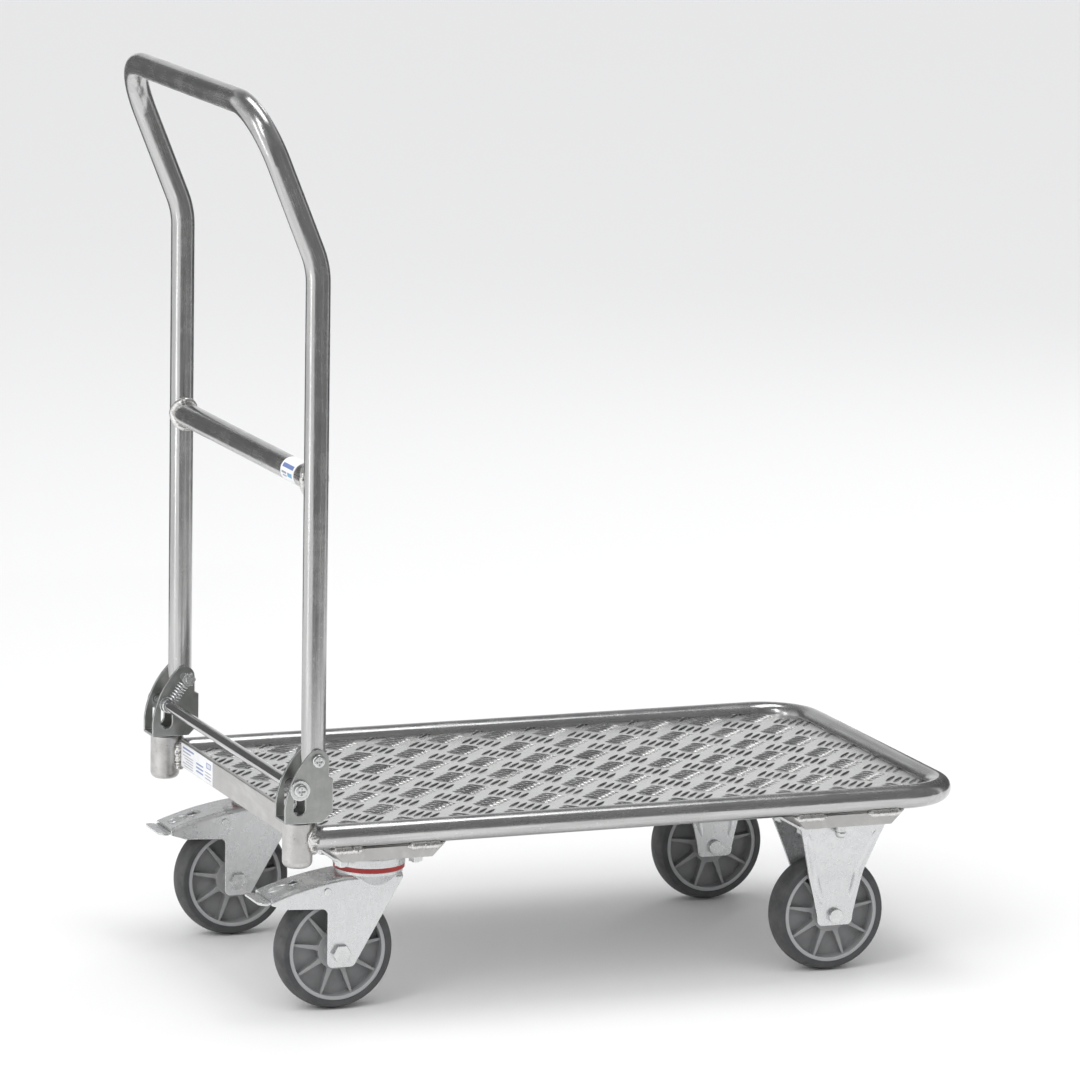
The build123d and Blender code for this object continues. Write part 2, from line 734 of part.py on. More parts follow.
# ---------------------------------------------------------------- swivel casters, turning half
# The fork is one pressing: a roof that arches back over the wheel to a beak, with two sides.
tip_x = swivel_x - fork_tip_back
arch = (
    (tip_x, fork_tip_z),
    (tip_x + fork_arch_middle, roof_z - fork_arch_drop),
    (tip_x + fork_arch_run, roof_z),
)
for side, hand in SIDES:
    middle_y = side * caster_y
    with BuildPart() as swivel_fork:
        with BuildSketch(upright(middle_y)) as fork_side:
            with BuildLine():
                ThreePointArc(*arch)
                Polyline(
                    arch[2],
                    (swivel_x + fork_front, roof_z),
                    (swivel_x + fork_front, roof_z - fork_front_edge),
                    (rear_axle_x + leg_front, leg_foot_z),
                    (rear_axle_x - leg_back, leg_foot_z),
                    (rear_axle_x - leg_back, fork_corner_z),
                    (tip_x + beak_foot_run, fork_tip_z - beak_foot_drop),
                    (tip_x + beak_nose_run, fork_tip_z - beak_nose_drop),
                    arch[0],
                )
            make_face()
            for corner in (
                (rear_axle_x + leg_front, leg_foot_z),
                (rear_axle_x - leg_back, leg_foot_z),
                (rear_axle_x - leg_back, fork_corner_z),
            ):
                fillet(fork_side.vertices().sort_by_distance(corner)[0], leg_round)
        extrude(amount=fork_half, both=True)
        roof_edges = swivel_fork.edges().filter_by(
            lambda edge: edge.center().Z > fork_tip_z + fork_wall
            and edge.length > crown_diameter / 2
            and abs(abs(edge.center().Y - middle_y) - fork_half) < seat
        )
        fillet(roof_edges.group_by(Axis.Z)[-1] + roof_edges.group_by(Axis.Z)[-2], fork_roof_round)
        with BuildSketch(Plane(origin=(swivel_x, middle_y, 0), x_dir=(1, 0, 0), z_dir=(0, -1, 0))):
            Polygon(
                (0, roof_z - crown_flare),
                (fork_half, roof_z - crown_flare),
                (crown_diameter / 2, roof_z),
                (crown_diameter / 2, crown_z),
                (race_diameter / 2, crown_z),
                (race_diameter / 2, race_z),
                (0, race_z),
                align=None,
            )
        revolve(axis=Axis((swivel_x, middle_y, 0), (0, 0, 1)))
        with BuildSketch(upright(middle_y)):
            with BuildLine():
                ThreePointArc(*[(x, z - fork_wall) for x, z in arch])
                Polyline(
                    (arch[2][0], roof_inner_z),
                    (swivel_x + crown_diameter, roof_inner_z),
                    (swivel_x + crown_diameter, 0),
                    (tip_x - fork_wall, 0),
                    (tip_x - fork_wall, fork_tip_z - 2 * fork_wall),
                    (tip_x, fork_tip_z - fork_wall),
                )
            make_face()
        extrude(amount=fork_gap / 2, both=True, mode=Mode.SUBTRACT)
        with Locations((swivel_x, middle_y, crown_z)):
            Cylinder(kingpin_diameter / 2 + running, 4 * crown_flare, mode=Mode.SUBTRACT)
        for hole_x, hole_z, hole_radius in (
            (rear_axle_x, wheel_radius, axle_diameter / 2 + seat),
            (pin_x, pedal_pin_height, pedal_pin_diameter / 2 + running),
        ):
            bar_y(
                hole_x,
                hole_z,
                hole_radius,
                middle_y - 2 * fork_half,
                middle_y + 2 * fork_half,
                mode=Mode.SUBTRACT,
            )
        with Locations((tip_x + window_ahead, middle_y, roof_z)):
            Box(window_length, window_width, 8 * fork_wall, mode=Mode.SUBTRACT)
    save(swivel_fork, f"swivel_fork_{hand}")

    with BuildPart() as pedal_pin:
        pin_outer = fork_half + pedal_pin_head
        bar_y(pin_x, pedal_pin_height, pedal_pin_diameter / 2, middle_y - pin_outer, middle_y + pin_outer)
        for face in (-fork_half, fork_half):
            near, far = sorted((face, face * pin_outer / fork_half))
            bar_y(
                pin_x,
                pedal_pin_height,
                pedal_pin_diameter / 2 + pedal_pin_head,
                middle_y + near,
                middle_y + far,
            )
    save(pedal_pin, f"pedal_pin_{hand}")

    with BuildPart() as axle_bolt:
        hex_y(
            rear_axle_x,
            wheel_radius,
            m10_across_flats,
            *span(side, caster_y + fork_half, caster_y + fork_half + axle_head_height),
        )
        bar_y(
            rear_axle_x,
            wheel_radius,
            axle_diameter / 2,
            *span(side, caster_y - fork_half - axle_head_height, caster_y + fork_half),
        )
    save(axle_bolt, f"axle_bolt_{hand}")

    with BuildPart() as axle_nut:
        hex_y(
            rear_axle_x,
            wheel_radius,
            m10_across_flats,
            *span(side, caster_y - fork_half - axle_head_height, caster_y - fork_half),
        )
        bar_y(
            rear_axle_x,
            wheel_radius,
            axle_diameter / 2 + seat,
            *span(side, caster_y - 2 * fork_half, caster_y),
            mode=Mode.SUBTRACT,
        )
    save(axle_nut, f"axle_nut_{hand}")

# ---------------------------------------------------------------- brake pedals
# A lever plate under the fork's roof. Its tongue sticks out at the beak to be trodden on, two
# ears hang it on the pin, and the shoe under it is pressed on the tyre.
tongue_x = swivel_x - pedal_tip_reach
neck_x = tip_x - pedal_neck
plate_end = tip_x + pedal_plate_run
neck_z = fork_tip_z - fork_wall - pedal_plate - pedal_head_room
plate_end_z = neck_z + pedal_slope * (plate_end - neck_x)
pedal_half = fork_gap / 2 - side_play
for side, hand in SIDES:
    middle_y = side * caster_y
    with BuildPart() as pedal:
        with BuildSketch(upright(middle_y)):
            Polygon(
                (tongue_x, neck_z + tongue_lift),
                (neck_x, neck_z),
                (plate_end, plate_end_z),
                (plate_end, plate_end_z + pedal_plate),
                (neck_x, neck_z + pedal_plate),
                (tongue_x, neck_z + tongue_lift + pedal_plate),
                align=None,
            )
        extrude(amount=pedal_tip_width / 2, both=True)
        with BuildSketch() as plate_plan:
            with Locations(((neck_x + plate_end) / 2, middle_y)):
                Rectangle(plate_end - neck_x + side_play, 2 * pedal_half)
            with Locations(((tongue_x + neck_x) / 2, middle_y)):
                Rectangle(neck_x - tongue_x, pedal_tip_width)
            fillet(plate_plan.vertices().group_by(Axis.X)[0], leg_round)
        extrude(amount=2 * wheel_diameter, mode=Mode.INTERSECT)
        for face in (-pedal_half, pedal_half):
            with BuildSketch(upright(middle_y + face)):
                with Locations((pin_x, pedal_pin_height)):
                    Circle(pedal_eye_radius)
                Polygon(
                    (plate_end - ear_root, plate_end_z - ear_root * pedal_slope),
                    (plate_end, plate_end_z - ear_waist),
                    (pin_x + ear_waist, pedal_pin_height - pedal_eye_radius),
                    (pin_x - ear_waist, pedal_pin_height + pedal_eye_radius),
                    (plate_end - ear_root, plate_end_z + pedal_plate - ear_root * pedal_slope),
                    align=None,
                )
                with Locations((pin_x, pedal_pin_height)):
                    Circle(pedal_pin_diameter / 2 + running, mode=Mode.SUBTRACT)
            extrude(amount=pedal_ear if face > 0 else -pedal_ear)
    save(pedal, f"brake_pedal_{hand}")

    with BuildPart() as shoe:
        shoe_x = plate_end - shoe_setback - shoe_length
        shoe_top = neck_z + pedal_slope * (shoe_x - neck_x)
        with BuildSketch(upright(middle_y)):
            Polygon(
                (shoe_x, shoe_top - seat),
                (shoe_x + shoe_length, shoe_top + pedal_slope * shoe_length - seat),
                (shoe_x + shoe_length, wheel_radius),
                (shoe_x, wheel_radius),
                align=None,
            )
        extrude(amount=shoe_width / 2, both=True)
        bar_y(
            rear_axle_x,
            wheel_radius,
            wheel_radius + shoe_gap,
            middle_y - fork_half,
            middle_y + fork_half,
            mode=Mode.SUBTRACT,
        )
    save(shoe, f"brake_shoe_{hand}")

# ---------------------------------------------------------------- fixed casters
# Plate and legs are one pressing: the legs slope in from the plate's edges to the fork's width.
knee = wheel_radius + fixed_knee_rise
slope_run = (caster_plate_width / 2 - fork_half) / (plate_z - knee)
inner_top = fork_gap / 2 + slope_run * (plate_z - knee)
for side, hand in SIDES:
    middle_y = side * caster_y
    with BuildPart() as fixed_fork:
        with BuildSketch(Plane.YZ.offset(front_axle_x)) as fork_section:
            with Locations((middle_y, 0)):
                Polygon(
                    (-caster_plate_width / 2, caster_height),
                    (-caster_plate_width / 2, plate_z),
                    (-fork_half, knee),
                    (-fork_half, 0),
                    (-fork_gap / 2, 0),
                    (-fork_gap / 2, knee),
                    (-inner_top, plate_z),
                    (inner_top, plate_z),
                    (fork_gap / 2, knee),
                    (fork_gap / 2, 0),
                    (fork_half, 0),
                    (fork_half, knee),
                    (caster_plate_width / 2, plate_z),
                    (caster_plate_width / 2, caster_height),
                    align=None,
                )
        extrude(amount=caster_plate_length / 2, both=True)
        with BuildSketch(upright(middle_y)) as leg_outline:
            with Locations((front_axle_x, 0)):
                with Locations((0, caster_height - caster_plate_thickness / 2)):
                    Rectangle(caster_plate_length, caster_plate_thickness)
            with BuildLine():
                right = ThreePointArc(
                    (front_axle_x + fixed_leg_top, plate_z),
                    (front_axle_x + fixed_leg_waist, knee),
                    (front_axle_x + fixed_leg_foot, wheel_radius),
                )
                foot = wheel_radius - fixed_leg_below
                Polyline(
                    right @ 1,
                    (front_axle_x + fixed_leg_foot - fixed_foot_taper, foot),
                    (front_axle_x - fixed_leg_foot + fixed_foot_taper, foot),
                    (front_axle_x - fixed_leg_foot, wheel_radius),
                )
                left = ThreePointArc(
                    (front_axle_x - fixed_leg_foot, wheel_radius),
                    (front_axle_x - fixed_leg_waist, knee),
                    (front_axle_x - fixed_leg_top, plate_z),
                )
                Line(left @ 1, right @ 0)
            make_face()
            feet = leg_outline.vertices().sort_by(Axis.Y)[0:2]
            fillet(feet, leg_round)
        extrude(amount=caster_plate_width, both=True, mode=Mode.INTERSECT)
        bar_y(
            front_axle_x,
            wheel_radius,
            axle_diameter / 2 + seat,
            middle_y - 2 * fork_half,
            middle_y + 2 * fork_half,
            mode=Mode.SUBTRACT,
        )
        with BuildSketch(Plane.XY.offset(plate_z)):
            with Locations((front_axle_x, middle_y)):
                with GridLocations(bolt_spacing_x, bolt_spacing_y, 2, 2):
                    Circle(m8 / 2 + side_play)
        extrude(amount=caster_plate_thickness, mode=Mode.SUBTRACT)
    save(fixed_fork, f"fixed_fork_{hand}")

with BuildPart() as fixed_axles:
    for side, hand in SIDES:
        axle_end = fork_half + axle_head_height
        bar_y(
            front_axle_x,
            wheel_radius,
            axle_diameter / 2,
            side * caster_y - axle_end,
            side * caster_y + axle_end,
        )
        for low, high in ((-axle_end, -fork_half), (fork_half, axle_end)):
            bar_y(
                front_axle_x,
                wheel_radius,
                axle_button_diameter / 2,
                side * caster_y + low,
                side * caster_y + high,
            )
save(fixed_axles, "fixed_axles")

# ---------------------------------------------------------------- wheels
# A steel sleeve round each axle is gripped between the fork's sides, and the wheel turns on it.
sleeve_half = fork_gap / 2 - seat
for side, hand in SIDES:
    with BuildPart() as rear_sleeve:
        ring_y(
            rear_axle_x,
            wheel_radius,
            sleeve_diameter / 2,
            axle_diameter / 2 + seat,
            side * caster_y - sleeve_half,
            side * caster_y + sleeve_half,
        )
    save(rear_sleeve, f"rear_sleeve_{hand}")

with BuildPart() as front_sleeves:
    for side, hand in SIDES:
        ring_y(
            front_axle_x,
            wheel_radius,
            sleeve_diameter / 2,
            axle_diameter / 2 + seat,
            side * caster_y - sleeve_half,
            side * caster_y + sleeve_half,
        )
save(front_sleeves, "front_sleeves")

ring_radius = wheel_radius - tyre_thickness
hub_half = fork_gap / 2 - side_play
for axle_x, end in ((rear_axle_x, "rear"), (front_axle_x, "front")):
    for side, hand in SIDES:
        middle_y = side * caster_y
        centre = (axle_x, middle_y, wheel_radius)
        with BuildPart() as tyre:
            with BuildSketch(Plane(origin=centre, x_dir=(0, 1, 0), z_dir=(1, 0, 0))) as tyre_section:
                with BuildLine():
                    shoulder = wheel_radius - tyre_crown
                    ThreePointArc(
                        (-tyre_width / 2, shoulder), (0, wheel_radius), (tyre_width / 2, shoulder)
                    )
                    Polyline(
                        (tyre_width / 2, shoulder),
                        (tyre_width / 2, ring_radius),
                        (-tyre_width / 2, ring_radius),
                        (-tyre_width / 2, shoulder),
                    )
                make_face()
                fillet(tyre_section.vertices().group_by(Axis.Y)[-1], tyre_shoulder_round)
            revolve(axis=Axis(centre, (0, 1, 0)))
        save(tyre, f"{end}_tyre_{hand}")

        with BuildPart() as rim:
            with BuildSketch(Plane(origin=centre, x_dir=(0, 1, 0), z_dir=(1, 0, 0))):
                ring_half = tyre_width / 2 - rim_lip
                Polygon(
                    (-ring_half, ring_radius - rim_ring),
                    (ring_half, ring_radius - rim_ring),
                    (ring_half, ring_radius - seat),
                    (-ring_half, ring_radius - seat),
                    align=None,
                )
                with Locations((0, ring_radius / 2)):
                    Rectangle(web_thickness, ring_radius - rim_ring / 2)
                with Locations((0, hub_diameter / 4)):
                    Rectangle(2 * hub_half, hub_diameter / 2)
                with Locations((0, hub_flange_diameter / 4)):
                    Rectangle(hub_flange_width, hub_flange_diameter / 2)
            revolve(axis=Axis(centre, (0, 1, 0)))
            with BuildSketch(Plane(origin=centre, x_dir=(1, 0, 0), z_dir=(0, -1, 0))):
                with PolarLocations(0, rib_count, start_angle=90):
                    Polygon(
                        (hub_diameter / 2, -rib_root_width / 2),
                        (rib_waist, -rib_waist_width / 2),
                        (ring_radius - rim_ring / 2, -rib_tip_width / 2),
                        (ring_radius - rim_ring / 2, rib_tip_width / 2),
                        (rib_waist, rib_waist_width / 2),
                        (hub_diameter / 2, rib_root_width / 2),
                        align=None,
                    )
            extrude(amount=hub_flange_width / 2 - rim_lip, both=True)
            bar_y(
                axle_x,
                wheel_radius,
                sleeve_diameter / 2 + running,
                middle_y - fork_half,
                middle_y + fork_half,
                mode=Mode.SUBTRACT,
            )
        save(rim, f"{end}_rim_{hand}")

# ---------------------------------------------------------------- caster fasteners
# Bolts drop through the channel's floor and the caster's plate, with nuts below.
with BuildPart() as caster_bolts:
    for stack_x in (swivel_x, front_axle_x):
        with BuildSketch(Plane.XY.offset(caster_height + channel_wall)):
            with Locations((stack_x, caster_y), (stack_x, -caster_y)):
                with GridLocations(bolt_spacing_x, bolt_spacing_y, 2, 2):
                    RegularPolygon(m8_across_flats / 2, 6, major_radius=False, rotation=30)
        extrude(amount=m8_head)
        with BuildSketch(Plane.XY.offset(caster_height + channel_wall)):
            with Locations((stack_x, caster_y), (stack_x, -caster_y)):
                with GridLocations(bolt_spacing_x, bolt_spacing_y, 2, 2):
                    Circle(m8 / 2)
        extrude(amount=-(channel_wall + caster_plate_thickness + m8_nut + bolt_past_nut))
save(caster_bolts, "caster_bolts")

with BuildPart() as caster_nuts:
    for stack_x in (swivel_x, front_axle_x):
        with BuildSketch(Plane.XY.offset(plate_z)):
            with Locations((stack_x, caster_y), (stack_x, -caster_y)):
                with GridLocations(bolt_spacing_x, bolt_spacing_y, 2, 2):
                    RegularPolygon(m8_across_flats / 2, 6, major_radius=False)
                    Circle(m8 / 2 + seat, mode=Mode.SUBTRACT)
        extrude(amount=-m8_nut)
save(caster_nuts, "caster_nuts")

# Domed nuts on short studs under the ends of the front channel, one outside each fixed fork.
with BuildPart() as end_nuts:
    for side, hand in SIDES:
        nut_place = (front_axle_x - end_nut_back, side * (channel_y - end_nut_diameter / 2 - end_nut_inset))
        for top, diameter, height in (
            (caster_height, end_stud_diameter, end_stud_length),
            (caster_height - end_stud_length, end_nut_diameter, end_nut_height),
        ):
            with BuildSketch(Plane.XY.offset(top)):
                with Locations(nut_place):
                    Circle(diameter / 2)
            extrude(amount=-height)
        fillet(end_nuts.edges(Select.LAST).sort_by(Axis.Z)[0], end_nut_round)
save(end_nuts, "end_nuts")
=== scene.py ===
# %% [markdown]
# # A folding platform cart
# The cart is an aluminium tube frame with a chequer-plate deck, a folding handle and four casters.
# Its true shapes come in as a fixed frame, already in place and in metres. What is left for us is
# the finish of each metal, and the small worked details: tread bars, weld beads, spring wire.

from math import cos, pi, radians, sin, sqrt
from random import Random

import bpy
from mathutils import Matrix, Vector


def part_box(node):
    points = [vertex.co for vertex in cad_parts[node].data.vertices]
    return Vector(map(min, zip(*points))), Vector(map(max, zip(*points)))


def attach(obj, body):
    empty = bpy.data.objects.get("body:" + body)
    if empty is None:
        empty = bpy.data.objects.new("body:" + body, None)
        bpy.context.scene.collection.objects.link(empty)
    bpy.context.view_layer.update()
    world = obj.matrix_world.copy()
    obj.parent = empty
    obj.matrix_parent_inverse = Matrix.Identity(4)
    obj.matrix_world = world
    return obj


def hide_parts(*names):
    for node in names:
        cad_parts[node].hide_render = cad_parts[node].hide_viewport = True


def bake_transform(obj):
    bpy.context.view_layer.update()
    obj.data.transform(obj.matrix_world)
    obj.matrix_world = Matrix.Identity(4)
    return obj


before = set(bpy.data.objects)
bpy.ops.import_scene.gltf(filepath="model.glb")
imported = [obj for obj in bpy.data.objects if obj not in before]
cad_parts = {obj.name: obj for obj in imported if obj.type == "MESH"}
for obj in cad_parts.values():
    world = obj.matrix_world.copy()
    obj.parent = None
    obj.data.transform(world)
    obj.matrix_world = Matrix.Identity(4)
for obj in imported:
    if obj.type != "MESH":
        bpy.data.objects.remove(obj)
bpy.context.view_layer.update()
mm = 0.001

# %% [markdown]
# ## Camera
# A long lens from far away keeps the tubes almost parallel. The view is from behind the right
# side, a little above the deck, so the direction is given as a heading, a pitch and a roll.

# %% Camera
heading, pitch, roll = radians(68.8113), radians(10.5671), radians(0.97247)
ahead = Vector((cos(heading) * cos(pitch), sin(heading) * cos(pitch), -sin(pitch)))
level = Vector((sin(heading), -cos(heading), 0))
above = level.cross(ahead)
across = level * cos(roll) + above * sin(roll)
upward = above * cos(roll) - level * sin(roll)
turn = Matrix((across, upward, -ahead)).transposed()
camera_place = (-2.54739, -6.57456, 1.75852)

camera = bpy.data.objects.new("camera", bpy.data.cameras.new("camera"))
camera.matrix_world = Matrix.Translation(camera_place) @ turn.to_4x4()
camera.data.lens = 227.17
camera.data.sensor_width = 36
camera.data.clip_end = 100
bpy.context.scene.collection.objects.link(camera)
bpy.context.scene.camera = camera
print("camera looks along", [round(c, 3) for c in ahead])

# %% [markdown]
# ## Floor and light
# Bright metal shows what is around it. A white floor and a white horizon give every tube its pale
# bands. The sky darkens overhead, and dark cards stand round the cart, so the parts of the metal
# that face up or face us go to a middle grey, as they do in a real studio. One very wide lamp
# lights the floor evenly and is kept out of the metal.

# %% Floor
studio = bpy.data.materials.new("studio_floor")
studio.use_nodes = True
studio_shader = studio.node_tree.nodes["Principled BSDF"]
studio_shader.inputs["Base Color"].default_value = (0.86, 0.86, 0.86, 1)
studio_shader.inputs["Roughness"].default_value = 0.75

floor_sheet = bpy.data.meshes.new("floor")
reach = 30.0
floor_sheet.from_pydata(
    [(-reach, -reach, 0), (reach, -reach, 0), (reach, reach, 0), (-reach, reach, 0)], [], [(0, 1, 2, 3)]
)
floor = bpy.data.objects.new("floor", floor_sheet)
floor.data.materials.append(studio)
bpy.context.scene.collection.objects.link(floor)

# %% Sky
sky = bpy.data.worlds.new("studio")
sky.use_nodes = True
bpy.context.scene.world = sky
sky_nodes, sky_links = sky.node_tree.nodes, sky.node_tree.links
sky_way = sky_nodes.new("ShaderNodeTexCoord")
sky_split = sky_nodes.new("ShaderNodeSeparateXYZ")
sky_ramp = sky_nodes.new("ShaderNodeValToRGB")
sky_links.new(sky_way.outputs["Generated"], sky_split.inputs[0])
sky_links.new(sky_split.outputs["Z"], sky_ramp.inputs["Fac"])
sky_links.new(sky_ramp.outputs["Color"], sky_nodes["Background"].inputs["Color"])
sky_ramp.color_ramp.elements[0].position = 0.12
sky_ramp.color_ramp.elements[0].color = (0.95, 0.955, 0.96, 1)
sky_ramp.color_ramp.elements[1].position = 0.75
sky_ramp.color_ramp.elements[1].color = (0.24, 0.24, 0.25, 1)
sky_nodes["Background"].inputs["Strength"].default_value = 0.95

# %% Lamps
def lamp(name, place, target, light):
    """A lamp at a place, turned to a target."""
    holder = bpy.data.objects.new(name, light)
    holder.location = place
    holder.rotation_mode = "QUATERNION"
    holder.rotation_quaternion = (Vector(target) - Vector(place)).to_track_quat("-Z", "Y")
    bpy.context.scene.collection.objects.link(holder)
    return holder


def soft_box(name, place, target, size, watts):
    """A rectangular soft lamp."""
    light = bpy.data.lights.new(name, "AREA")
    light.shape = "RECTANGLE"
    light.size, light.size_y = size
    light.energy = watts
    lamp(name, place, target, light)


soft_box("key", (-2.6, -2.2, 3.0), (0, 0, 0.4), (1.2, 2.4), 34)
soft_box("top", (0.4, 0.2, 3.4), (0, 0, 0.2), (2.2, 1.2), 26)
soft_box("edge", (2.4, 2.6, 2.2), (0, 0, 0.3), (0.5, 1.6), 10)
soft_box("strip", (-2.55, -0.40, 0.95), (0, 0, 0.95), (0.30, 1.9), 4.5)

wide_light = bpy.data.lights.new("fill", "SUN")
wide_light.energy = 1.9
wide_light.angle = radians(100)
lamp("fill", (-1, -1, 4), (0, 0, 0), wide_light).visible_glossy = False
bpy.context.scene.view_settings.view_transform = "Standard"

# %% [markdown]
# Photographers stand dark cards beside bright metal, so that it has something dark to show. The
# cards are hidden from the camera itself and are seen only in the metal.

# %% Dark cards
def card(name, side_turn, distance, half_across, high, grey):
    """An upright card that faces the cart, turned this many degrees to the right of the camera."""
    card_skin = bpy.data.materials.new(name)
    card_skin.use_nodes = True
    card_shader = card_skin.node_tree.nodes["Principled BSDF"]
    card_shader.inputs["Base Color"].default_value = (grey, grey, grey, 1)
    card_shader.inputs["Roughness"].default_value = 0.9
    way = heading + pi + radians(side_turn)
    middle = Vector((cos(way), sin(way), 0)) * distance
    along = Vector((-sin(way), cos(way), 0)) * half_across
    corners = [middle - along, middle + along]
    points = [(c.x, c.y, 0.01) for c in corners] + [(c.x, c.y, high) for c in reversed(corners)]
    mesh = bpy.data.meshes.new(name)
    mesh.from_pydata(points, [], [(0, 1, 2, 3)])
    mesh.materials.append(card_skin)
    sheet = bpy.data.objects.new(name, mesh)
    bpy.context.scene.collection.objects.link(sheet)
    sheet.visible_camera = False
    sheet.visible_shadow = False
    sheet.visible_diffuse = False


card("card_near", 5, 1.7, 1.15, 2.6, 0.20)
card("card_right", 70, 1.7, 1.0, 2.6, 0.19)
card("card_far_right", 138, 2.0, 1.05, 1.9, 0.09)
card("card_far_left", -134, 1.9, 0.55, 2.0, 0.13)
card("card_low_left", -160, 2.2, 0.40, 0.5, 0.13)

# %% [markdown]
# ## Finishes
# Every finish is built from the same few steps: a place on the piece, a noise at that place, and
# a range that the noise is turned into. Writing each step once keeps the recipes short enough to
# read as recipes.

# %% Steps that the finishes share
def new_finish(name, metal):
    """A new material with its tree and shader, metal or not."""
    finish = bpy.data.materials.new(name)
    finish.use_nodes = True
    shader = finish.node_tree.nodes["Principled BSDF"]
    shader.inputs["Metallic"].default_value = metal
    return finish, finish.node_tree, shader


def node(tree, kind, **settings):
    """A node of this kind, with its settings."""
    made = tree.nodes.new(kind)
    for setting, value in settings.items():
        setattr(made, setting, value)
    return made


def here(tree):
    """The place on the piece, in metres."""
    return node(tree, "ShaderNodeTexCoord").outputs["Object"]


def vector_step(tree, operation, first, second):
    """One vector operation between an output and an output or a fixed vector."""
    step = node(tree, "ShaderNodeVectorMath", operation=operation)
    tree.links.new(first, step.inputs[0])
    if isinstance(second, tuple):
        step.inputs[1].default_value = second
    elif operation == "SCALE":
        tree.links.new(second, step.inputs["Scale"])
    else:
        tree.links.new(second, step.inputs[1])
    return step


def number_step(tree, operation, first, second=0.0, third=0.0):
    """One number operation. Inputs are outputs of other nodes or fixed numbers."""
    step = node(tree, "ShaderNodeMath", operation=operation)
    for socket, value in zip(step.inputs, (first, second, third)):
        if isinstance(value, (int, float)):
            socket.default_value = value
        else:
            tree.links.new(value, socket)
    return step.outputs[0]


def drawn_out(tree, place, along, keep=0.02):
    """A place squeezed along one direction, so that a noise read there runs in long lines."""
    way = Vector(along).normalized()
    length = vector_step(tree, "DOT_PRODUCT", place, tuple(way)).outputs["Value"]
    direction = node(tree, "ShaderNodeCombineXYZ")
    for socket, part in zip(direction.inputs, way):
        socket.default_value = part * (1 - keep)
    shift = vector_step(tree, "SCALE", direction.outputs[0], length).outputs[0]
    return vector_step(tree, "SUBTRACT", place, shift).outputs[0]


def noise(tree, place, per_metre, detail=3.0, rough=0.55):
    """Smooth noise from 0 to 1, with this many lumps to a metre."""
    made = node(tree, "ShaderNodeTexNoise")
    made.inputs["Scale"].default_value = per_metre
    made.inputs["Detail"].default_value = detail
    made.inputs["Roughness"].default_value = rough
    tree.links.new(place, made.inputs["Vector"])
    return made.outputs["Fac"]


def near_edge(tree, samples, radius, start, full):
    """A normal rounded over at the edges, and a share that goes from 1 at an edge to 0 on a flat."""
    rounded = node(tree, "ShaderNodeBevel", samples=samples)
    rounded.inputs["Radius"].default_value = radius
    plain = node(tree, "ShaderNodeNewGeometry")
    normals = rounded.outputs["Normal"], plain.outputs["Normal"]
    same = vector_step(tree, "DOT_PRODUCT", *normals).outputs["Value"]
    return rounded.outputs["Normal"], spread(tree, same, start, full, 1.0, 0.0)


def spread(tree, value, low_in, high_in, low_out, high_out):
    """A value turned from one range into another, and held inside it."""
    made = node(tree, "ShaderNodeMapRange")
    for socket, number in zip(list(made.inputs)[1:5], (low_in, high_in, low_out, high_out)):
        socket.default_value = number
    tree.links.new(value, made.inputs["Value"])
    return made.outputs["Result"]


def tint(tree, share, from_colour, to_colour):
    """Two colours mixed by another node's share. Each colour is fixed or comes from a node."""
    made = node(tree, "ShaderNodeMix", data_type="RGBA")
    tree.links.new(share, made.inputs["Factor"])
    for socket, colour in ((made.inputs["A"], from_colour), (made.inputs["B"], to_colour)):
        if isinstance(colour, tuple):
            socket.default_value = (*colour, 1)
        else:
            tree.links.new(colour, socket)
    return made.outputs["Result"]


def relief(tree, shader, height, depth, strength):
    """Bumps this deep, in metres, where the height goes from 0 to 1. A later one adds to it."""
    made = node(tree, "ShaderNodeBump")
    made.inputs["Strength"].default_value = strength
    made.inputs["Distance"].default_value = depth
    tree.links.new(height, made.inputs["Height"])
    if shader.inputs["Normal"].is_linked:
        tree.links.new(shader.inputs["Normal"].links[0].from_socket, made.inputs["Normal"])
    tree.links.new(made.outputs["Normal"], shader.inputs["Normal"])


def paint(tree, shader, colour, roughness):
    """Give the shader its colour and its roughness."""
    tree.links.new(colour, shader.inputs["Base Color"])
    tree.links.new(roughness, shader.inputs["Roughness"])


def wear(nodes, finish):
    """Put a finish on CAD nodes."""
    for name in nodes:
        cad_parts[name].data.materials.clear()
        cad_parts[name].data.materials.append(finish)
    print(finish.name, "on", len(nodes), "nodes")


SIDES = ((1, "left"), (-1, "right"))


def both(name):
    """The left and the right node of a pair."""
    return [f"{name}_{hand}" for _, hand in SIDES]

# %% [markdown]
# ## Drawn aluminium tube
# The frame and the handle are round tube, drawn through a die. That leaves hair-thin lines along
# the tube, broad darker and lighter bands, and dull patches from handling. The lines must follow
# the tube round its bends. The mesh carries no map along the tube, so each straight run gets its
# own direction, and the runs fade into each other over the bends.

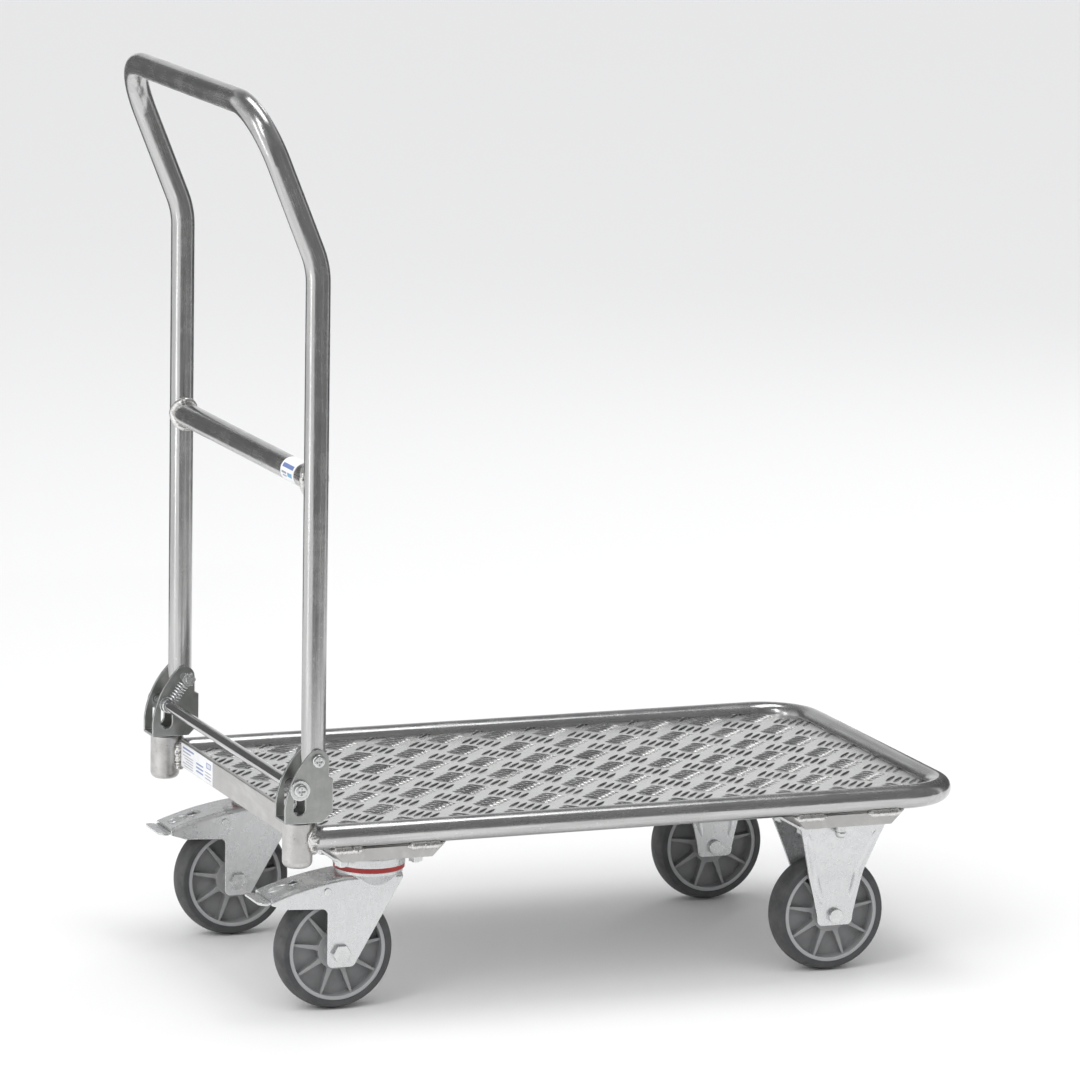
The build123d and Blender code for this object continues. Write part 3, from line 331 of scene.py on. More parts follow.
# %% Tube finish
def drawn_tube(name, first_way, later_runs):
    """Aluminium tube. Each later run is a direction, an axis, and where it starts and is full."""
    finish, tree, shader = new_finish(name, 1.0)
    place = here(tree)
    split = node(tree, "ShaderNodeSeparateXYZ")
    tree.links.new(place, split.inputs[0])

    def lines(way):
        fine = noise(tree, drawn_out(tree, place, way, 0.012), 1500, 2.0)
        broad = noise(tree, drawn_out(tree, place, way, 0.05), 170, 2.0)
        return fine, broad

    def faded(first, second, share):
        change = number_step(tree, "SUBTRACT", second, first)
        return number_step(tree, "MULTIPLY_ADD", change, share, first)

    fine, broad = lines(first_way)
    for way, axis, start, full in later_runs:
        share = spread(tree, split.outputs[axis], start, full, 0.0, 1.0)
        next_fine, next_broad = lines(way)
        fine = faded(fine, next_fine, share)
        broad = faded(broad, next_broad, share)

    cloud = noise(tree, place, 28, 4.0)
    nick = spread(tree, noise(tree, place, 420, 1.0), 0.70, 0.76, 0.0, 1.0)
    metal = tint(tree, spread(tree, broad, 0.35, 0.65, 0.0, 1.0), (0.50, 0.50, 0.495), (0.64, 0.64, 0.635))
    metal = tint(tree, spread(tree, fine, 0.35, 0.70, 0.0, 0.32), metal, (0.36, 0.36, 0.36))
    metal = tint(tree, spread(tree, cloud, 0.45, 0.75, 0.0, 0.45), metal, (0.54, 0.54, 0.53))
    metal = tint(tree, number_step(tree, "MULTIPLY", nick, 0.5), metal, (0.92, 0.92, 0.92))
    dull = spread(tree, cloud, 0.35, 0.70, 0.16, 0.28)
    dull = number_step(tree, "ADD", dull, spread(tree, fine, 0.3, 0.7, -0.04, 0.07))
    paint(tree, shader, metal, dull)
    relief(tree, shader, fine, 0.035 * mm, 0.6)
    relief(tree, shader, nick, 0.06 * mm, 0.5)
    return finish

# %% Tube places
frame_low, frame_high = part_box("frame_tube")
tube_radius = (frame_high.z - frame_low.z) / 2
side_y = frame_high.y - tube_radius
frame_z = (frame_high.z + frame_low.z) / 2
front_x = frame_high.x - tube_radius

handle_low, handle_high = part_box("handle_tube")
hinge_x = handle_high.x - tube_radius
grip_x = handle_low.x + tube_radius
grip_z = handle_high.z - tube_radius
bend_z = 776 * mm  # where the legs start to lean back
lean = (grip_x - hinge_x, 0, grip_z - bend_z)
print("tube radius", round(tube_radius, 5), "hinge x", round(hinge_x, 4))
print("grip lean", [round(c, 3) for c in lean])

frame_finish = drawn_tube(
    "frame_aluminium",
    (1, 0, 0),
    [((0, 1, 0), "X", front_x - 45 * mm, front_x - 8 * mm)],
)
handle_finish = drawn_tube(
    "handle_aluminium",
    (0, 0, 1),
    [
        (lean, "Z", bend_z - 12 * mm, bend_z + 12 * mm),
        ((0, 1, 0), "Z", grip_z - 40 * mm, grip_z - 8 * mm),
    ],
)
crossbar_finish = drawn_tube("crossbar_aluminium", (0, 1, 0), [])
wear(["frame_tube"], frame_finish)
wear(["handle_tube"], handle_finish)
wear(["handle_crossbar"], crossbar_finish)

# %% [markdown]
# ## Deck plate
# Chequer plate is rolled between patterned rollers, so the raised bars are one with the sheet and
# shine more on top, where shoes and boxes rub them. The sheet between them stays a little duller,
# with faint rolling lines along its length and scratches in all directions.

# %% Deck finish
def rolled_plate(name, low_colour, high_colour, low_rough, high_rough):
    """Bright rolled aluminium with rolling lines and scratches."""
    finish, tree, shader = new_finish(name, 1.0)
    place = here(tree)
    rolling = noise(tree, drawn_out(tree, place, (1, 0, 0), 0.03), 900, 2.0)
    scratch = noise(tree, drawn_out(tree, place, (0.8, 0.6, 0), 0.015), 700, 1.0)
    other = noise(tree, drawn_out(tree, place, (0.5, -0.86, 0), 0.015), 800, 1.0)
    cloud = noise(tree, place, 22, 4.0)
    scratch = spread(tree, scratch, 0.62, 0.66, 0.0, 1.0)
    cut = number_step(tree, "MAXIMUM", scratch, spread(tree, other, 0.63, 0.67, 0.0, 1.0))
    metal = tint(tree, spread(tree, cloud, 0.35, 0.65, 0.0, 1.0), low_colour, high_colour)
    metal = tint(tree, spread(tree, rolling, 0.4, 0.7, 0.0, 0.25), metal, (0.45, 0.45, 0.45))
    metal = tint(tree, number_step(tree, "MULTIPLY", cut, 0.35), metal, (0.93, 0.93, 0.93))
    dull = spread(tree, cloud, 0.3, 0.7, low_rough, high_rough)
    dull = number_step(tree, "ADD", dull, number_step(tree, "MULTIPLY", cut, 0.10))
    paint(tree, shader, metal, dull)
    relief(tree, shader, rolling, 0.02 * mm, 0.5)
    relief(tree, shader, cut, 0.03 * mm, 0.5)
    return finish


sheet_finish = rolled_plate("deck_sheet_aluminium", (0.76, 0.76, 0.75), (0.90, 0.90, 0.89), 0.20, 0.34)
# The bars are much darker than the sheet they are one with: painted shade, standing in for the dark
# reflections in their sides.
shaded_tread_finish = rolled_plate("tread_aluminium_painted_shade", (0.36, 0.36, 0.355), (0.54, 0.54, 0.53), 0.08, 0.18)
wear(["deck_sheet"], sheet_finish)

# %% [markdown]
# ## Tread bars
# The pattern is groups of five short bars, each group at a right angle to the groups beside it,
# and the whole pattern turned by 45 degrees. An array modifier can't trim bars at the tubes, so
# each bar is a small domed lens made point by point, and points past the edge are drawn back to it.

# %% One mesh for a finished piece
def make_piece(name, points, faces, finish, body, slot):
    """A smooth mesh piece with its finish. It moves with a body if one is named. The slot is not used."""
    mesh = bpy.data.meshes.new(name)
    mesh.from_pydata([tuple(p) for p in points], [], faces)
    mesh.update()
    mesh.materials.append(finish)
    for face in mesh.polygons:
        face.use_smooth = True
    piece = bpy.data.objects.new(name, mesh)
    bpy.context.scene.collection.objects.link(piece)
    if body:
        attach(piece, body)
    print(name, len(points), "points")
    return piece

# %% Several meshes as one
def gather(parts):
    """Several lists of points and faces as one."""
    points, faces = [], []
    for part_points, part_faces in parts:
        shift = len(points)
        points += part_points
        faces += [tuple(i + shift for i in face) for face in part_faces]
    return points, faces

# %% Tread bars
cell = 43 * mm
bar_pitch, bar_length, bar_width, bar_height = 8.6 * mm, 29 * mm, 4.0 * mm, 1.6 * mm
bar_foot = 0.1 * mm  # how far each bar sinks into the sheet
lens_power, early_rise = 2.2, 1.25  # how blunt the ends are, and how soon a bar is at full height
deck_low, deck_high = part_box("deck_sheet")
trim = 0.4 * mm
corner = 42.5 * mm


def inside_deck(x, y):
    """The nearest place to this one that lies on the deck."""
    x = min(max(x, deck_low.x + trim), deck_high.x - trim)
    y = min(max(y, deck_low.y + trim), deck_high.y - trim)
    over_x, over_y = x - (deck_high.x - corner), abs(y) - (deck_high.y - corner)
    out = sqrt(over_x**2 + over_y**2) if over_x > 0 and over_y > 0 else 0
    if out > corner - trim:
        pull = (corner - trim) / out
        x = deck_high.x - corner + over_x * pull
        y = (deck_high.y - corner + over_y * pull) * (1 if y > 0 else -1)
    return x, y


lengthwise = [-1.0, -0.85, -0.6, -0.3, 0.0, 0.3, 0.6, 0.85, 1.0]
crosswise = ((-1.0, 0.0), (-0.80, 0.50), (-0.45, 0.86), (0.0, 1.0), (0.45, 0.86), (0.80, 0.50), (1.0, 0.0))
tread_points, tread_faces, bars = [], [], 0
cells_out = int((deck_high.x - deck_low.x) / cell) + 2
for i in range(-cells_out, cells_out + 1):
    for j in range(-cells_out, cells_out + 1):
        along, stacked = ((1, 1), (-1, 1)) if (i + j) % 2 else ((-1, 1), (1, 1))
        cell_x = (i - j) * cell / sqrt(2) + (deck_low.x + deck_high.x) / 2
        cell_y = (i + j) * cell / sqrt(2)
        for k in range(-2, 3):
            bar_x = cell_x + stacked[0] * k * bar_pitch / sqrt(2)
            bar_y = cell_y + stacked[1] * k * bar_pitch / sqrt(2)
            kept = inside_deck(bar_x, bar_y)
            if abs(kept[0] - bar_x) + abs(kept[1] - bar_y) > 1e-6:
                continue
            first = len(tread_points)
            bars += 1
            for step in lengthwise:
                full = 1 - abs(step) ** lens_power
                top = min(full * early_rise, 1)
                for side_step, rise in crosswise:
                    out = step * bar_length / 2
                    aside = side_step * full * bar_width / 2
                    x, y = inside_deck(
                        bar_x + (along[0] * out - along[1] * aside) / sqrt(2),
                        bar_y + (along[1] * out + along[0] * aside) / sqrt(2),
                    )
                    z = deck_high.z - bar_foot + (bar_foot + bar_height) * rise * top
                    tread_points.append((x, y, z))
            for a in range(len(lengthwise) - 1):
                for b in range(len(crosswise) - 1):
                    base = first + a * len(crosswise) + b
                    above_base = base + len(crosswise)
                    tread_faces.append((base, base + 1, above_base + 1, above_base))
make_piece("deck_tread", tread_points, tread_faces, shaded_tread_finish, "platform", "deck_aluminium")
print(bars, "tread bars")

# %% [markdown]
# ## Sheet aluminium
# The end rail and the two cross channels are plain mill-finish sheet: greyer than the tube, with
# lines from the rolling mill along their length, which is across the cart.

# %% Mill finish
def mill_sheet(name):
    """Aluminium sheet as it leaves the mill, with its lines across the cart."""
    finish, tree, shader = new_finish(name, 1.0)
    place = here(tree)
    lines = noise(tree, drawn_out(tree, place, (0, 1, 0), 0.02), 1100, 2.0)
    cloud = noise(tree, place, 35, 5.0)
    smear = noise(tree, drawn_out(tree, place, (0, 1, 0.2), 0.2), 90, 3.0)
    metal = tint(tree, spread(tree, cloud, 0.35, 0.65, 0.0, 1.0), (0.54, 0.53, 0.515), (0.66, 0.655, 0.64))
    metal = tint(tree, spread(tree, lines, 0.4, 0.7, 0.0, 0.3), metal, (0.48, 0.48, 0.47))
    metal = tint(tree, spread(tree, smear, 0.55, 0.75, 0.0, 0.35), metal, (0.80, 0.80, 0.79))
    paint(tree, shader, metal, spread(tree, cloud, 0.3, 0.7, 0.34, 0.50))
    relief(tree, shader, lines, 0.03 * mm, 0.6)
    relief(tree, shader, cloud, 0.15 * mm, 0.3)
    return finish


mill = mill_sheet("mill_aluminium")
wear(["end_rail", "rear_channel", "front_channel"], mill)

# %% [markdown]
# ## Cast corner posts
# The posts look like castings: matt, faintly speckled, with small pits. Two noises do it, one for
# the speckle of the skin and one, cut off high, for the pits.

# %% Cast finish
def cast_skin(name):
    """Matt cast aluminium with pits."""
    finish, tree, shader = new_finish(name, 1.0)
    place = here(tree)
    speckle = noise(tree, place, 900, 4.0, 0.7)
    cloud = noise(tree, place, 60, 4.0)
    pit = spread(tree, noise(tree, place, 380, 2.0), 0.26, 0.34, 1.0, 0.0)
    metal = tint(tree, spread(tree, cloud, 0.35, 0.65, 0.0, 1.0), (0.46, 0.455, 0.44), (0.62, 0.61, 0.595))
    metal = tint(tree, spread(tree, speckle, 0.4, 0.7, 0.0, 0.5), metal, (0.70, 0.69, 0.675))
    metal = tint(tree, number_step(tree, "MULTIPLY", pit, 0.6), metal, (0.22, 0.21, 0.20))
    paint(tree, shader, metal, spread(tree, speckle, 0.3, 0.7, 0.27, 0.43))
    relief(tree, shader, speckle, 0.12 * mm, 0.6)
    relief(tree, shader, number_step(tree, "SUBTRACT", 1.0, pit), 0.2 * mm, 0.6)
    return finish


cast = cast_skin("cast_aluminium_skin")
wear(both("corner_post"), cast)

# %% [markdown]
# ## Zinc-plated steel
# Brackets, forks and pedals are pressed steel with a satin zinc plate. Zinc has a cool colour and a
# cloudy bloom from its crystals. A rounded normal next to the flat one tells the shader where an
# edge is; the edges are shaded with it, and their colour is lightened as a painted highlight, with no extra
# mesh.

# %% Zinc finish
def zinc_plate(name, low_colour, high_colour, low_rough, high_rough, grain_way=(0, 0, 1), metal_share=1.0):
    """Zinc-plated steel with a bloom, a fine grain along one way, and painted highlights on its edges."""
    finish, tree, shader = new_finish(name, metal_share)
    place = here(tree)
    bloom = noise(tree, place, 75, 5.0, 0.65)
    grain = noise(tree, drawn_out(tree, place, grain_way, 0.05), 1300, 3.0)
    crystal = node(tree, "ShaderNodeTexVoronoi")
    crystal.inputs["Scale"].default_value = 520
    tree.links.new(place, crystal.inputs["Vector"])
    rounded, edge = near_edge(tree, 8, 1.0 * mm, 0.90, 0.995)
    metal = tint(tree, spread(tree, bloom, 0.32, 0.68, 0.0, 1.0), low_colour, high_colour)
    metal = tint(tree, spread(tree, crystal.outputs["Color"], 0.2, 0.9, 0.0, 0.03), metal, (0.95, 0.97, 0.98))
    metal = tint(tree, spread(tree, grain, 0.4, 0.7, 0.0, 0.16), metal, tuple(c * 0.72 for c in low_colour))
    # The edges are pushed towards white: a painted highlight on the rounded edges.
    metal = tint(tree, number_step(tree, "MULTIPLY", edge, 0.8), metal, (0.96, 0.97, 0.97))
    dull = spread(tree, bloom, 0.3, 0.7, low_rough, high_rough)
    dull = number_step(tree, "SUBTRACT", dull, number_step(tree, "MULTIPLY", edge, 0.12))
    paint(tree, shader, metal, dull)
    tree.links.new(rounded, shader.inputs["Normal"])
    relief(tree, shader, grain, 0.025 * mm, 0.5)
    relief(tree, shader, bloom, 0.03 * mm, 0.25)
    return finish


zinc = zinc_plate(
    "zinc_pressed_steel", (0.64, 0.65, 0.655), (0.75, 0.755, 0.755), 0.22, 0.34, metal_share=0.8
)
bracket_zinc = zinc_plate("zinc_bracket_steel", (0.36, 0.375, 0.36), (0.50, 0.51, 0.49), 0.34, 0.50)
fastener_zinc = zinc_plate(
    "zinc_fastener_steel", (0.60, 0.61, 0.61), (0.82, 0.825, 0.82), 0.20, 0.36, (0, 1, 0)
)
pressed_pairs = ("swivel_plate", "swivel_cup", "swivel_fork", "fixed_fork", "brake_pedal")
wear([n for pair in pressed_pairs for n in both(pair)], zinc)
wear(both("hinge_bracket"), bracket_zinc)
wear(
    ["bracket_screws", "bracket_washers", "hinge_bolts", "hinge_nuts", "kingpins", "fixed_axles",
     "front_sleeves", "caster_bolts", "caster_nuts", "end_nuts", "rod_washers", "rod_screws",
     "swivel_balls"]
    + [n for pair in ("pedal_pin", "axle_bolt", "axle_nut", "rear_sleeve") for n in both(pair)],
    fastener_zinc,
)

# %% [markdown]
# ## Pressed forks
# The press leaves shapes that are too fine for the true parts: two upright swages that stiffen each
# leg of the fixed forks, two raised ovals on the swivel fork's roof, and a short tab bent up at the
# second oval. All but the tab are low domed strips that follow a path and sink a little into the
# plate they stand on.

# %% Pressed strips
def domed_strip(path, facing, half_width, proud, sunk):
    """A low ridge along a path, domed towards one side and pointed at both ends."""
    points, faces = [], []
    last = len(path) - 1
    for k, centre in enumerate(path):
        way = (path[min(k + 1, last)] - path[max(k - 1, 0)]).normalized()
        aside = way.cross(facing).normalized()
        full = min(1.0, 6 * k / last, 6 * (last - k) / last) ** 0.5
        for share, rise in ((-1, 0), (-0.6, 0.72), (0, 1), (0.6, 0.72), (1, 0)):
            height = proud * rise * full - sunk * (1 - rise)
            points.append(centre + aside * half_width * share * full + facing * height)
    for k in range(last):
        for a in range(4):
            base = 5 * k + a
            faces.append((base, base + 1, base + 6, base + 5))
    return points, faces


# A leg stands upright as far as its knee, then spreads out to the plate and widens faster.
knee_z, leg_top_z, leg_half = 108 * mm, 162 * mm, 26 * mm
foot_half, foot_height, leg_widens, knee_widens = 20 * mm, 10 * mm, 0.24, 0.07
swage_foot, swage_rise, swage_steps, swage_inset = 22, 82, 28, 7.5 * mm
swage_half, swage_proud, swage_sunk = 4.0 * mm, 1.5 * mm, 0.5 * mm
swages = []
for _, hand in SIDES:
    leg_low, leg_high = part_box(f"fixed_fork_{hand}")
    leg_middle = (leg_low + leg_high) / 2
    plate_half = (leg_high.y - leg_low.y) / 2
    for face_side in (-1, 1):
        for end_side in (-1, 1):
            path = []
            for k in range(swage_steps + 1):
                z = leg_low.z + (swage_foot + swage_rise * k / swage_steps) * mm
                slope = min(max((z - knee_z) / (leg_top_z - knee_z), 0.0), 1.0)
                y = leg_middle.y + face_side * (leg_half + (plate_half - leg_half) * slope)
                half_width = foot_half + (z - leg_low.z - foot_height) * leg_widens
                half_width += (z - knee_z) * knee_widens * (z > knee_z)
                x = leg_middle.x + end_side * (half_width - swage_inset)
                path.append(Vector((x, y, z)))
            outward = Vector((0, face_side, 0))
            swages.append(domed_strip(path, outward, swage_half, swage_proud, swage_sunk))
make_piece("fixed_fork_swages", *gather(swages), zinc, "platform", "zinc_steel")

# %% Swivel fork roof
roof_top = 142.6 * mm
roof_way = Vector((-0.3, 0, 1)).normalized()
tip_drop, roof_slope, roof_bow = -19.1, 0.36263, 0.001566


def on_roof(tip_x, ahead_of_tip):
    """The top of the fork's curved roof, this far ahead of its tip."""
    steps = ahead_of_tip / mm
    drop = tip_drop + roof_slope * steps - roof_bow * steps**2
    return Vector((tip_x + ahead_of_tip, 0, roof_top + drop * mm))


def roof_oval(tip_x, fork_y, middle, half_long, half_wide, steps):
    """An oval path on the roof. Its middle and half sizes are in millimetres."""
    path = []
    for k in range(steps + 1):
        angle = 2 * pi * k / steps
        seat = on_roof(tip_x, (middle - half_long * cos(angle)) * mm)
        path.append(seat + fork_y + Vector((0, half_wide * mm * sin(angle), 0)))
    return path


tab_root, tab_length, tab_steps = 38.6, 8.5, 8
tab_sunk, tab_rise, tab_curl = 0.8, 4.2, 1.6
tab_half, tab_thick = 3, 1.2
tab_corners = ((-tab_half, 0), (tab_half, 0), (tab_half, tab_thick), (-tab_half, tab_thick))
for _, hand in SIDES:
    fork_low, fork_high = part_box(f"swivel_fork_{hand}")
    fork_y = Vector((0, (fork_low.y + fork_high.y) / 2, 0))
    tip_oval = roof_oval(fork_low.x, fork_y, 15, 10, 5.5, 40)
    tab_oval = roof_oval(fork_low.x, fork_y, 33, 7.5, 6.2, 32)
    tab_points, tab_faces = [], []
    for k in range(tab_steps + 1):
        share = k / tab_steps
        lift = Vector((0, 0, (-tab_sunk + tab_rise * share**tab_curl) * mm))
        base = on_roof(fork_low.x, (tab_root - tab_length * share) * mm) + fork_y + lift
        for off_y, off_z in tab_corners:
            tab_points.append(base + Vector((0, off_y * mm, off_z * mm)))
        if k:
            row = 4 * k
            tab_faces += [(row - 4 + a, row - 4 + (a + 1) % 4, row + (a + 1) % 4, row + a) for a in range(4)]
    tab_faces += [(3, 2, 1, 0), tuple(range(len(tab_points) - 4, len(tab_points)))]
    pressed = gather([
        domed_strip(tip_oval, roof_way, 1.6 * mm, 1.5 * mm, 0.5 * mm),
        domed_strip(tab_oval, roof_way, 1.2 * mm, 1.0 * mm, 0.5 * mm),
        (tab_points, tab_faces),
    ])
    make_piece(f"fork_pressings_{hand}", *pressed, zinc, f"fork_{hand}", "zinc_steel")

# %% [markdown]
# ## Foot rod, bushes, seals and shoes
# The rod is bright ground bar, so it is nearly a mirror, with rub marks that run along it. The
# bushes, seals and shoes are small plastic and rubber pieces, each with its own grain.

# %% Rod finish
rod_finish, tree, shader = new_finish("bright_rod_steel", 1.0)
place = here(tree)
rub = noise(tree, drawn_out(tree, place, (0, 1, 0), 0.01), 1800, 2.0)
dust = noise(tree, place, 70, 4.0)
paint(
    tree,
    shader,
    tint(tree, spread(tree, rub, 0.35, 0.7, 0.0, 0.6), (0.58, 0.58, 0.58), (0.36, 0.36, 0.37)),
    spread(tree, dust, 0.35, 0.7, 0.06, 0.14),
)
relief(tree, shader, rub, 0.015 * mm, 0.5)
wear(["foot_rod"], rod_finish)

# %% Plastic and rubber finishes
def moulded(name, low_colour, high_colour, low_rough, high_rough, grain_per_metre, grain_depth):
    """Plastic or rubber with a moulded grain and a slightly uneven colour."""
    finish, tree, shader = new_finish(name, 0.0)
    place = here(tree)
    cloud = noise(tree, place, 55, 4.0)
    grain = noise(tree, place, grain_per_metre, 3.0, 0.6)
    colour = tint(tree, spread(tree, cloud, 0.3, 0.7, 0.0, 1.0), low_colour, high_colour)
    paint(tree, shader, colour, spread(tree, grain, 0.3, 0.7, low_rough, high_rough))
    relief(tree, shader, grain, grain_depth, 0.6)
    return finish


nylon_black, nylon_worn = (0.02, 0.02, 0.02), (0.045, 0.045, 0.045)
seal_red, seal_light = (0.30, 0.014, 0.013), (0.40, 0.022, 0.020)
shoe_black, shoe_worn = (0.015, 0.015, 0.016), (0.035, 0.035, 0.036)
wear(["hinge_bushes"], moulded("bush_nylon_black", nylon_black, nylon_worn, 0.45, 0.6, 1500, 0.03 * mm))
wear(["swivel_seals"], moulded("seal_red_plastic", seal_red, seal_light, 0.28, 0.42, 1200, 0.03 * mm))
wear(both("brake_shoe"), moulded("shoe_black_rubber", shoe_black, shoe_worn, 0.6, 0.8, 1600, 0.05 * mm))

# %% [markdown]
# ## Wheels
# The tyre is dark grey elastic rubber with a dusty tread, and the rim is mid-grey plastic, lighter
# at its lip and on the hub face, with a painted highlight on its rib edges. Both turn on an axle, so
# their marks are rings. A ring needs the distance from the axle, and each wheel gets its own finish with its
# own middle.

# %% Distance from an axle
def from_axle(tree, place, middle):
    """The distance from an axle along Y, and how far to the side."""
    moved = vector_step(tree, "SUBTRACT", place, tuple(middle)).outputs[0]
    split = node(tree, "ShaderNodeSeparateXYZ")
    tree.links.new(moved, split.inputs[0])
    flat = number_step(tree, "MULTIPLY", split.outputs["X"], split.outputs["X"])
    squared = number_step(tree, "MULTIPLY_ADD", split.outputs["Z"], split.outputs["Z"], flat)
    distance = number_step(tree, "SQRT", squared)
    return distance, number_step(tree, "ABSOLUTE", split.outputs["Y"])

# %% Tyre and rim finishes
def tyre_rubber(name, middle, radius):
    """Grey elastic rubber: smooth walls with fine mould rings and a dusty, rubbed tread."""
    finish, tree, shader = new_finish(name, 0.0)
    place = here(tree)
    distance, aside = from_axle(tree, place, middle)
    dust = noise(tree, place, 60, 5.0, 0.65)
    grain = noise(tree, place, 1400, 3.0, 0.6)
    tread = spread(tree, distance, radius - 6.0 * mm, radius - 1.5 * mm, 0.0, 1.0)
    scuff = number_step(tree, "MULTIPLY", tread, spread(tree, dust, 0.4, 0.65, 0.0, 1.0))
    ring_pitch = 1.6 * mm
    wave = number_step(tree, "SINE", number_step(tree, "MULTIPLY", distance, 2 * pi / ring_pitch))
    ring = spread(tree, wave, 0.75, 1.0, 0.0, 1.0)
    seam = spread(tree, aside, 0.35 * mm, 0.9 * mm, 1.0, 0.0)
    colour = tint(tree, spread(tree, dust, 0.35, 0.7, 0.0, 1.0), (0.050, 0.051, 0.053), (0.074, 0.075, 0.077))
    colour = tint(tree, number_step(tree, "MULTIPLY", scuff, 0.55), colour, (0.115, 0.113, 0.110))
    paint(tree, shader, colour, spread(tree, grain, 0.3, 0.7, 0.50, 0.68))
    shader.inputs["Specular IOR Level"].default_value = 0.45
    relief(tree, shader, grain, 0.06 * mm, 0.6)
    relief(tree, shader, ring, 0.05 * mm, 0.25)
    relief(tree, shader, seam, 0.25 * mm, 0.5)
    return finish


def rim_plastic(name, middle, radius):
    """Mid-grey moulded plastic, lighter at the lip and on the hub face, with painted highlights on its edges.
    """
    finish, tree, shader = new_finish(name, 0.0)
    place = here(tree)
    distance, aside = from_axle(tree, place, middle)
    cloud = noise(tree, place, 45, 4.0)
    grain = noise(tree, place, 1100, 3.0, 0.6)
    lip = spread(tree, distance, radius - 4.6 * mm, radius - 3.6 * mm, 0.0, 1.0)
    proud = spread(tree, aside, 9.0 * mm, 12.0 * mm, 0.0, 1.0)
    rounded, edge = near_edge(tree, 4, 0.8 * mm, 0.88, 0.99)
    clouded = spread(tree, cloud, 0.35, 0.65, 0.0, 1.0)
    colour = tint(tree, clouded, (0.205, 0.208, 0.211), (0.255, 0.258, 0.261))
    colour = tint(tree, number_step(tree, "MULTIPLY", proud, 0.55), colour, (0.33, 0.333, 0.335))
    colour = tint(tree, number_step(tree, "MULTIPLY", lip, 0.85), colour, (0.36, 0.365, 0.37))
    # Rib edges are lightened: a painted highlight on the rounded edges.
    colour = tint(tree, number_step(tree, "MULTIPLY", edge, 0.45), colour, (0.42, 0.425, 0.43))
    paint(tree, shader, colour, spread(tree, grain, 0.3, 0.7, 0.34, 0.50))
    tree.links.new(rounded, shader.inputs["Normal"])
    relief(tree, shader, grain, 0.04 * mm, 0.6)
    return finish


for end in ("rear", "front"):
    for tyre_node in both(f"{end}_tyre"):
        rim_node = tyre_node.replace("tyre", "rim")
        tyre_low, tyre_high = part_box(tyre_node)
        rim_low, rim_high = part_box(rim_node)
        middle = (tyre_low + tyre_high) / 2
        wear([tyre_node], tyre_rubber(f"{tyre_node}_rubber", middle, (tyre_high.x - tyre_low.x) / 2))
        wear([rim_node], rim_plastic(f"{rim_node}_plastic", middle, (rim_high.x - rim_low.x) / 2))

# %% [markdown]
# ## Printed labels
# The data plate on the rail and the sticker on the crossbar carry print. Here the print is plain
# lines and blocks that say nothing. Each mark is a window in the label's own measure, so marks
# sit where they are meant to whatever the label's size.

# %% Label marks
def window(tree, value, start, end):
    """1 between two values and 0 outside them."""
    above_start = number_step(tree, "GREATER_THAN", value, start)
    return number_step(tree, "MULTIPLY", above_start, number_step(tree, "LESS_THAN", value, end))


def printed(name, node_name, run, rise, marks):
    """White film. Each mark is a box in shares of the label's run and rise, and a colour."""
    finish, tree, shader = new_finish(name, 0.0)
    low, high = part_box(node_name)
    split = node(tree, "ShaderNodeSeparateXYZ")
    place = here(tree)
    tree.links.new(place, split.inputs[0])

    def share_of(axis):
        start, end = getattr(low, axis.lower()), getattr(high, axis.lower())
        return spread(tree, split.outputs[axis], start, end, 0.0, 1.0)

    across_share, up_share = share_of(run), share_of(rise)
    dirt = noise(tree, place, 120, 4.0)
    film = tint(tree, spread(tree, dirt, 0.4, 0.75, 0.0, 0.5), (0.90, 0.905, 0.92), (0.74, 0.74, 0.75))
    for left, right, bottom, top, colour in marks:
        wide, tall = window(tree, across_share, left, right), window(tree, up_share, bottom, top)
        mark = number_step(tree, "MULTIPLY", wide, tall)
        film = tint(tree, number_step(tree, "MULTIPLY", mark, 0.85), film, colour)
    paint(tree, shader, film, spread(tree, dirt, 0.3, 0.7, 0.30, 0.48))
    relief(tree, shader, dirt, 0.05 * mm, 0.3)
    return finish


blue_ink, grey_ink = (0.10, 0.17, 0.42), (0.20, 0.22, 0.30)
rail_marks = [(0.60, 0.95, 0.80, 0.88, blue_ink), (0.70, 0.95, 0.66, 0.71, grey_ink)]
rail_marks += [
    (0.62, 0.95 - 0.05 * (row % 3), 0.52 - 0.11 * row, 0.555 - 0.11 * row, grey_ink) for row in range(5)
]
rail_marks += [(0.30, 0.52, 0.50 - 0.16 * row, 0.57 - 0.16 * row, blue_ink) for row in range(3)]
rail_marks += [(0.06, 0.20, 0.60, 0.84, blue_ink), (0.08, 0.18, 0.64, 0.80, (0.80, 0.81, 0.84))]
rail_marks += [(0.05, 0.24, 0.40 - 0.13 * row, 0.44 - 0.13 * row, grey_ink) for row in range(3)]
bar_marks = [(0.10, 0.90, 0.62, 0.80, (0.04, 0.12, 0.40)), (0.12, 0.46, 0.24, 0.44, (0.05, 0.30, 0.55)),
             (0.54, 0.90, 0.34, 0.44, grey_ink), (0.54, 0.84, 0.20, 0.28, grey_ink)]
wear(["rail_label"], printed("rail_label_print", "rail_label", "Y", "Z", rail_marks))
wear(["bar_label"], printed("bar_label_print", "bar_label", "Y", "Z", bar_marks))

# %% [markdown]
# ## Weld beads
# A welder lays a row of overlapping puddles. A round bead swept along the joint shows that if its
# radius swells once for each puddle, and a little seeded unevenness keeps it from looking turned
# on a lathe. The same sweep serves every weld, because only the path of the joint differs.

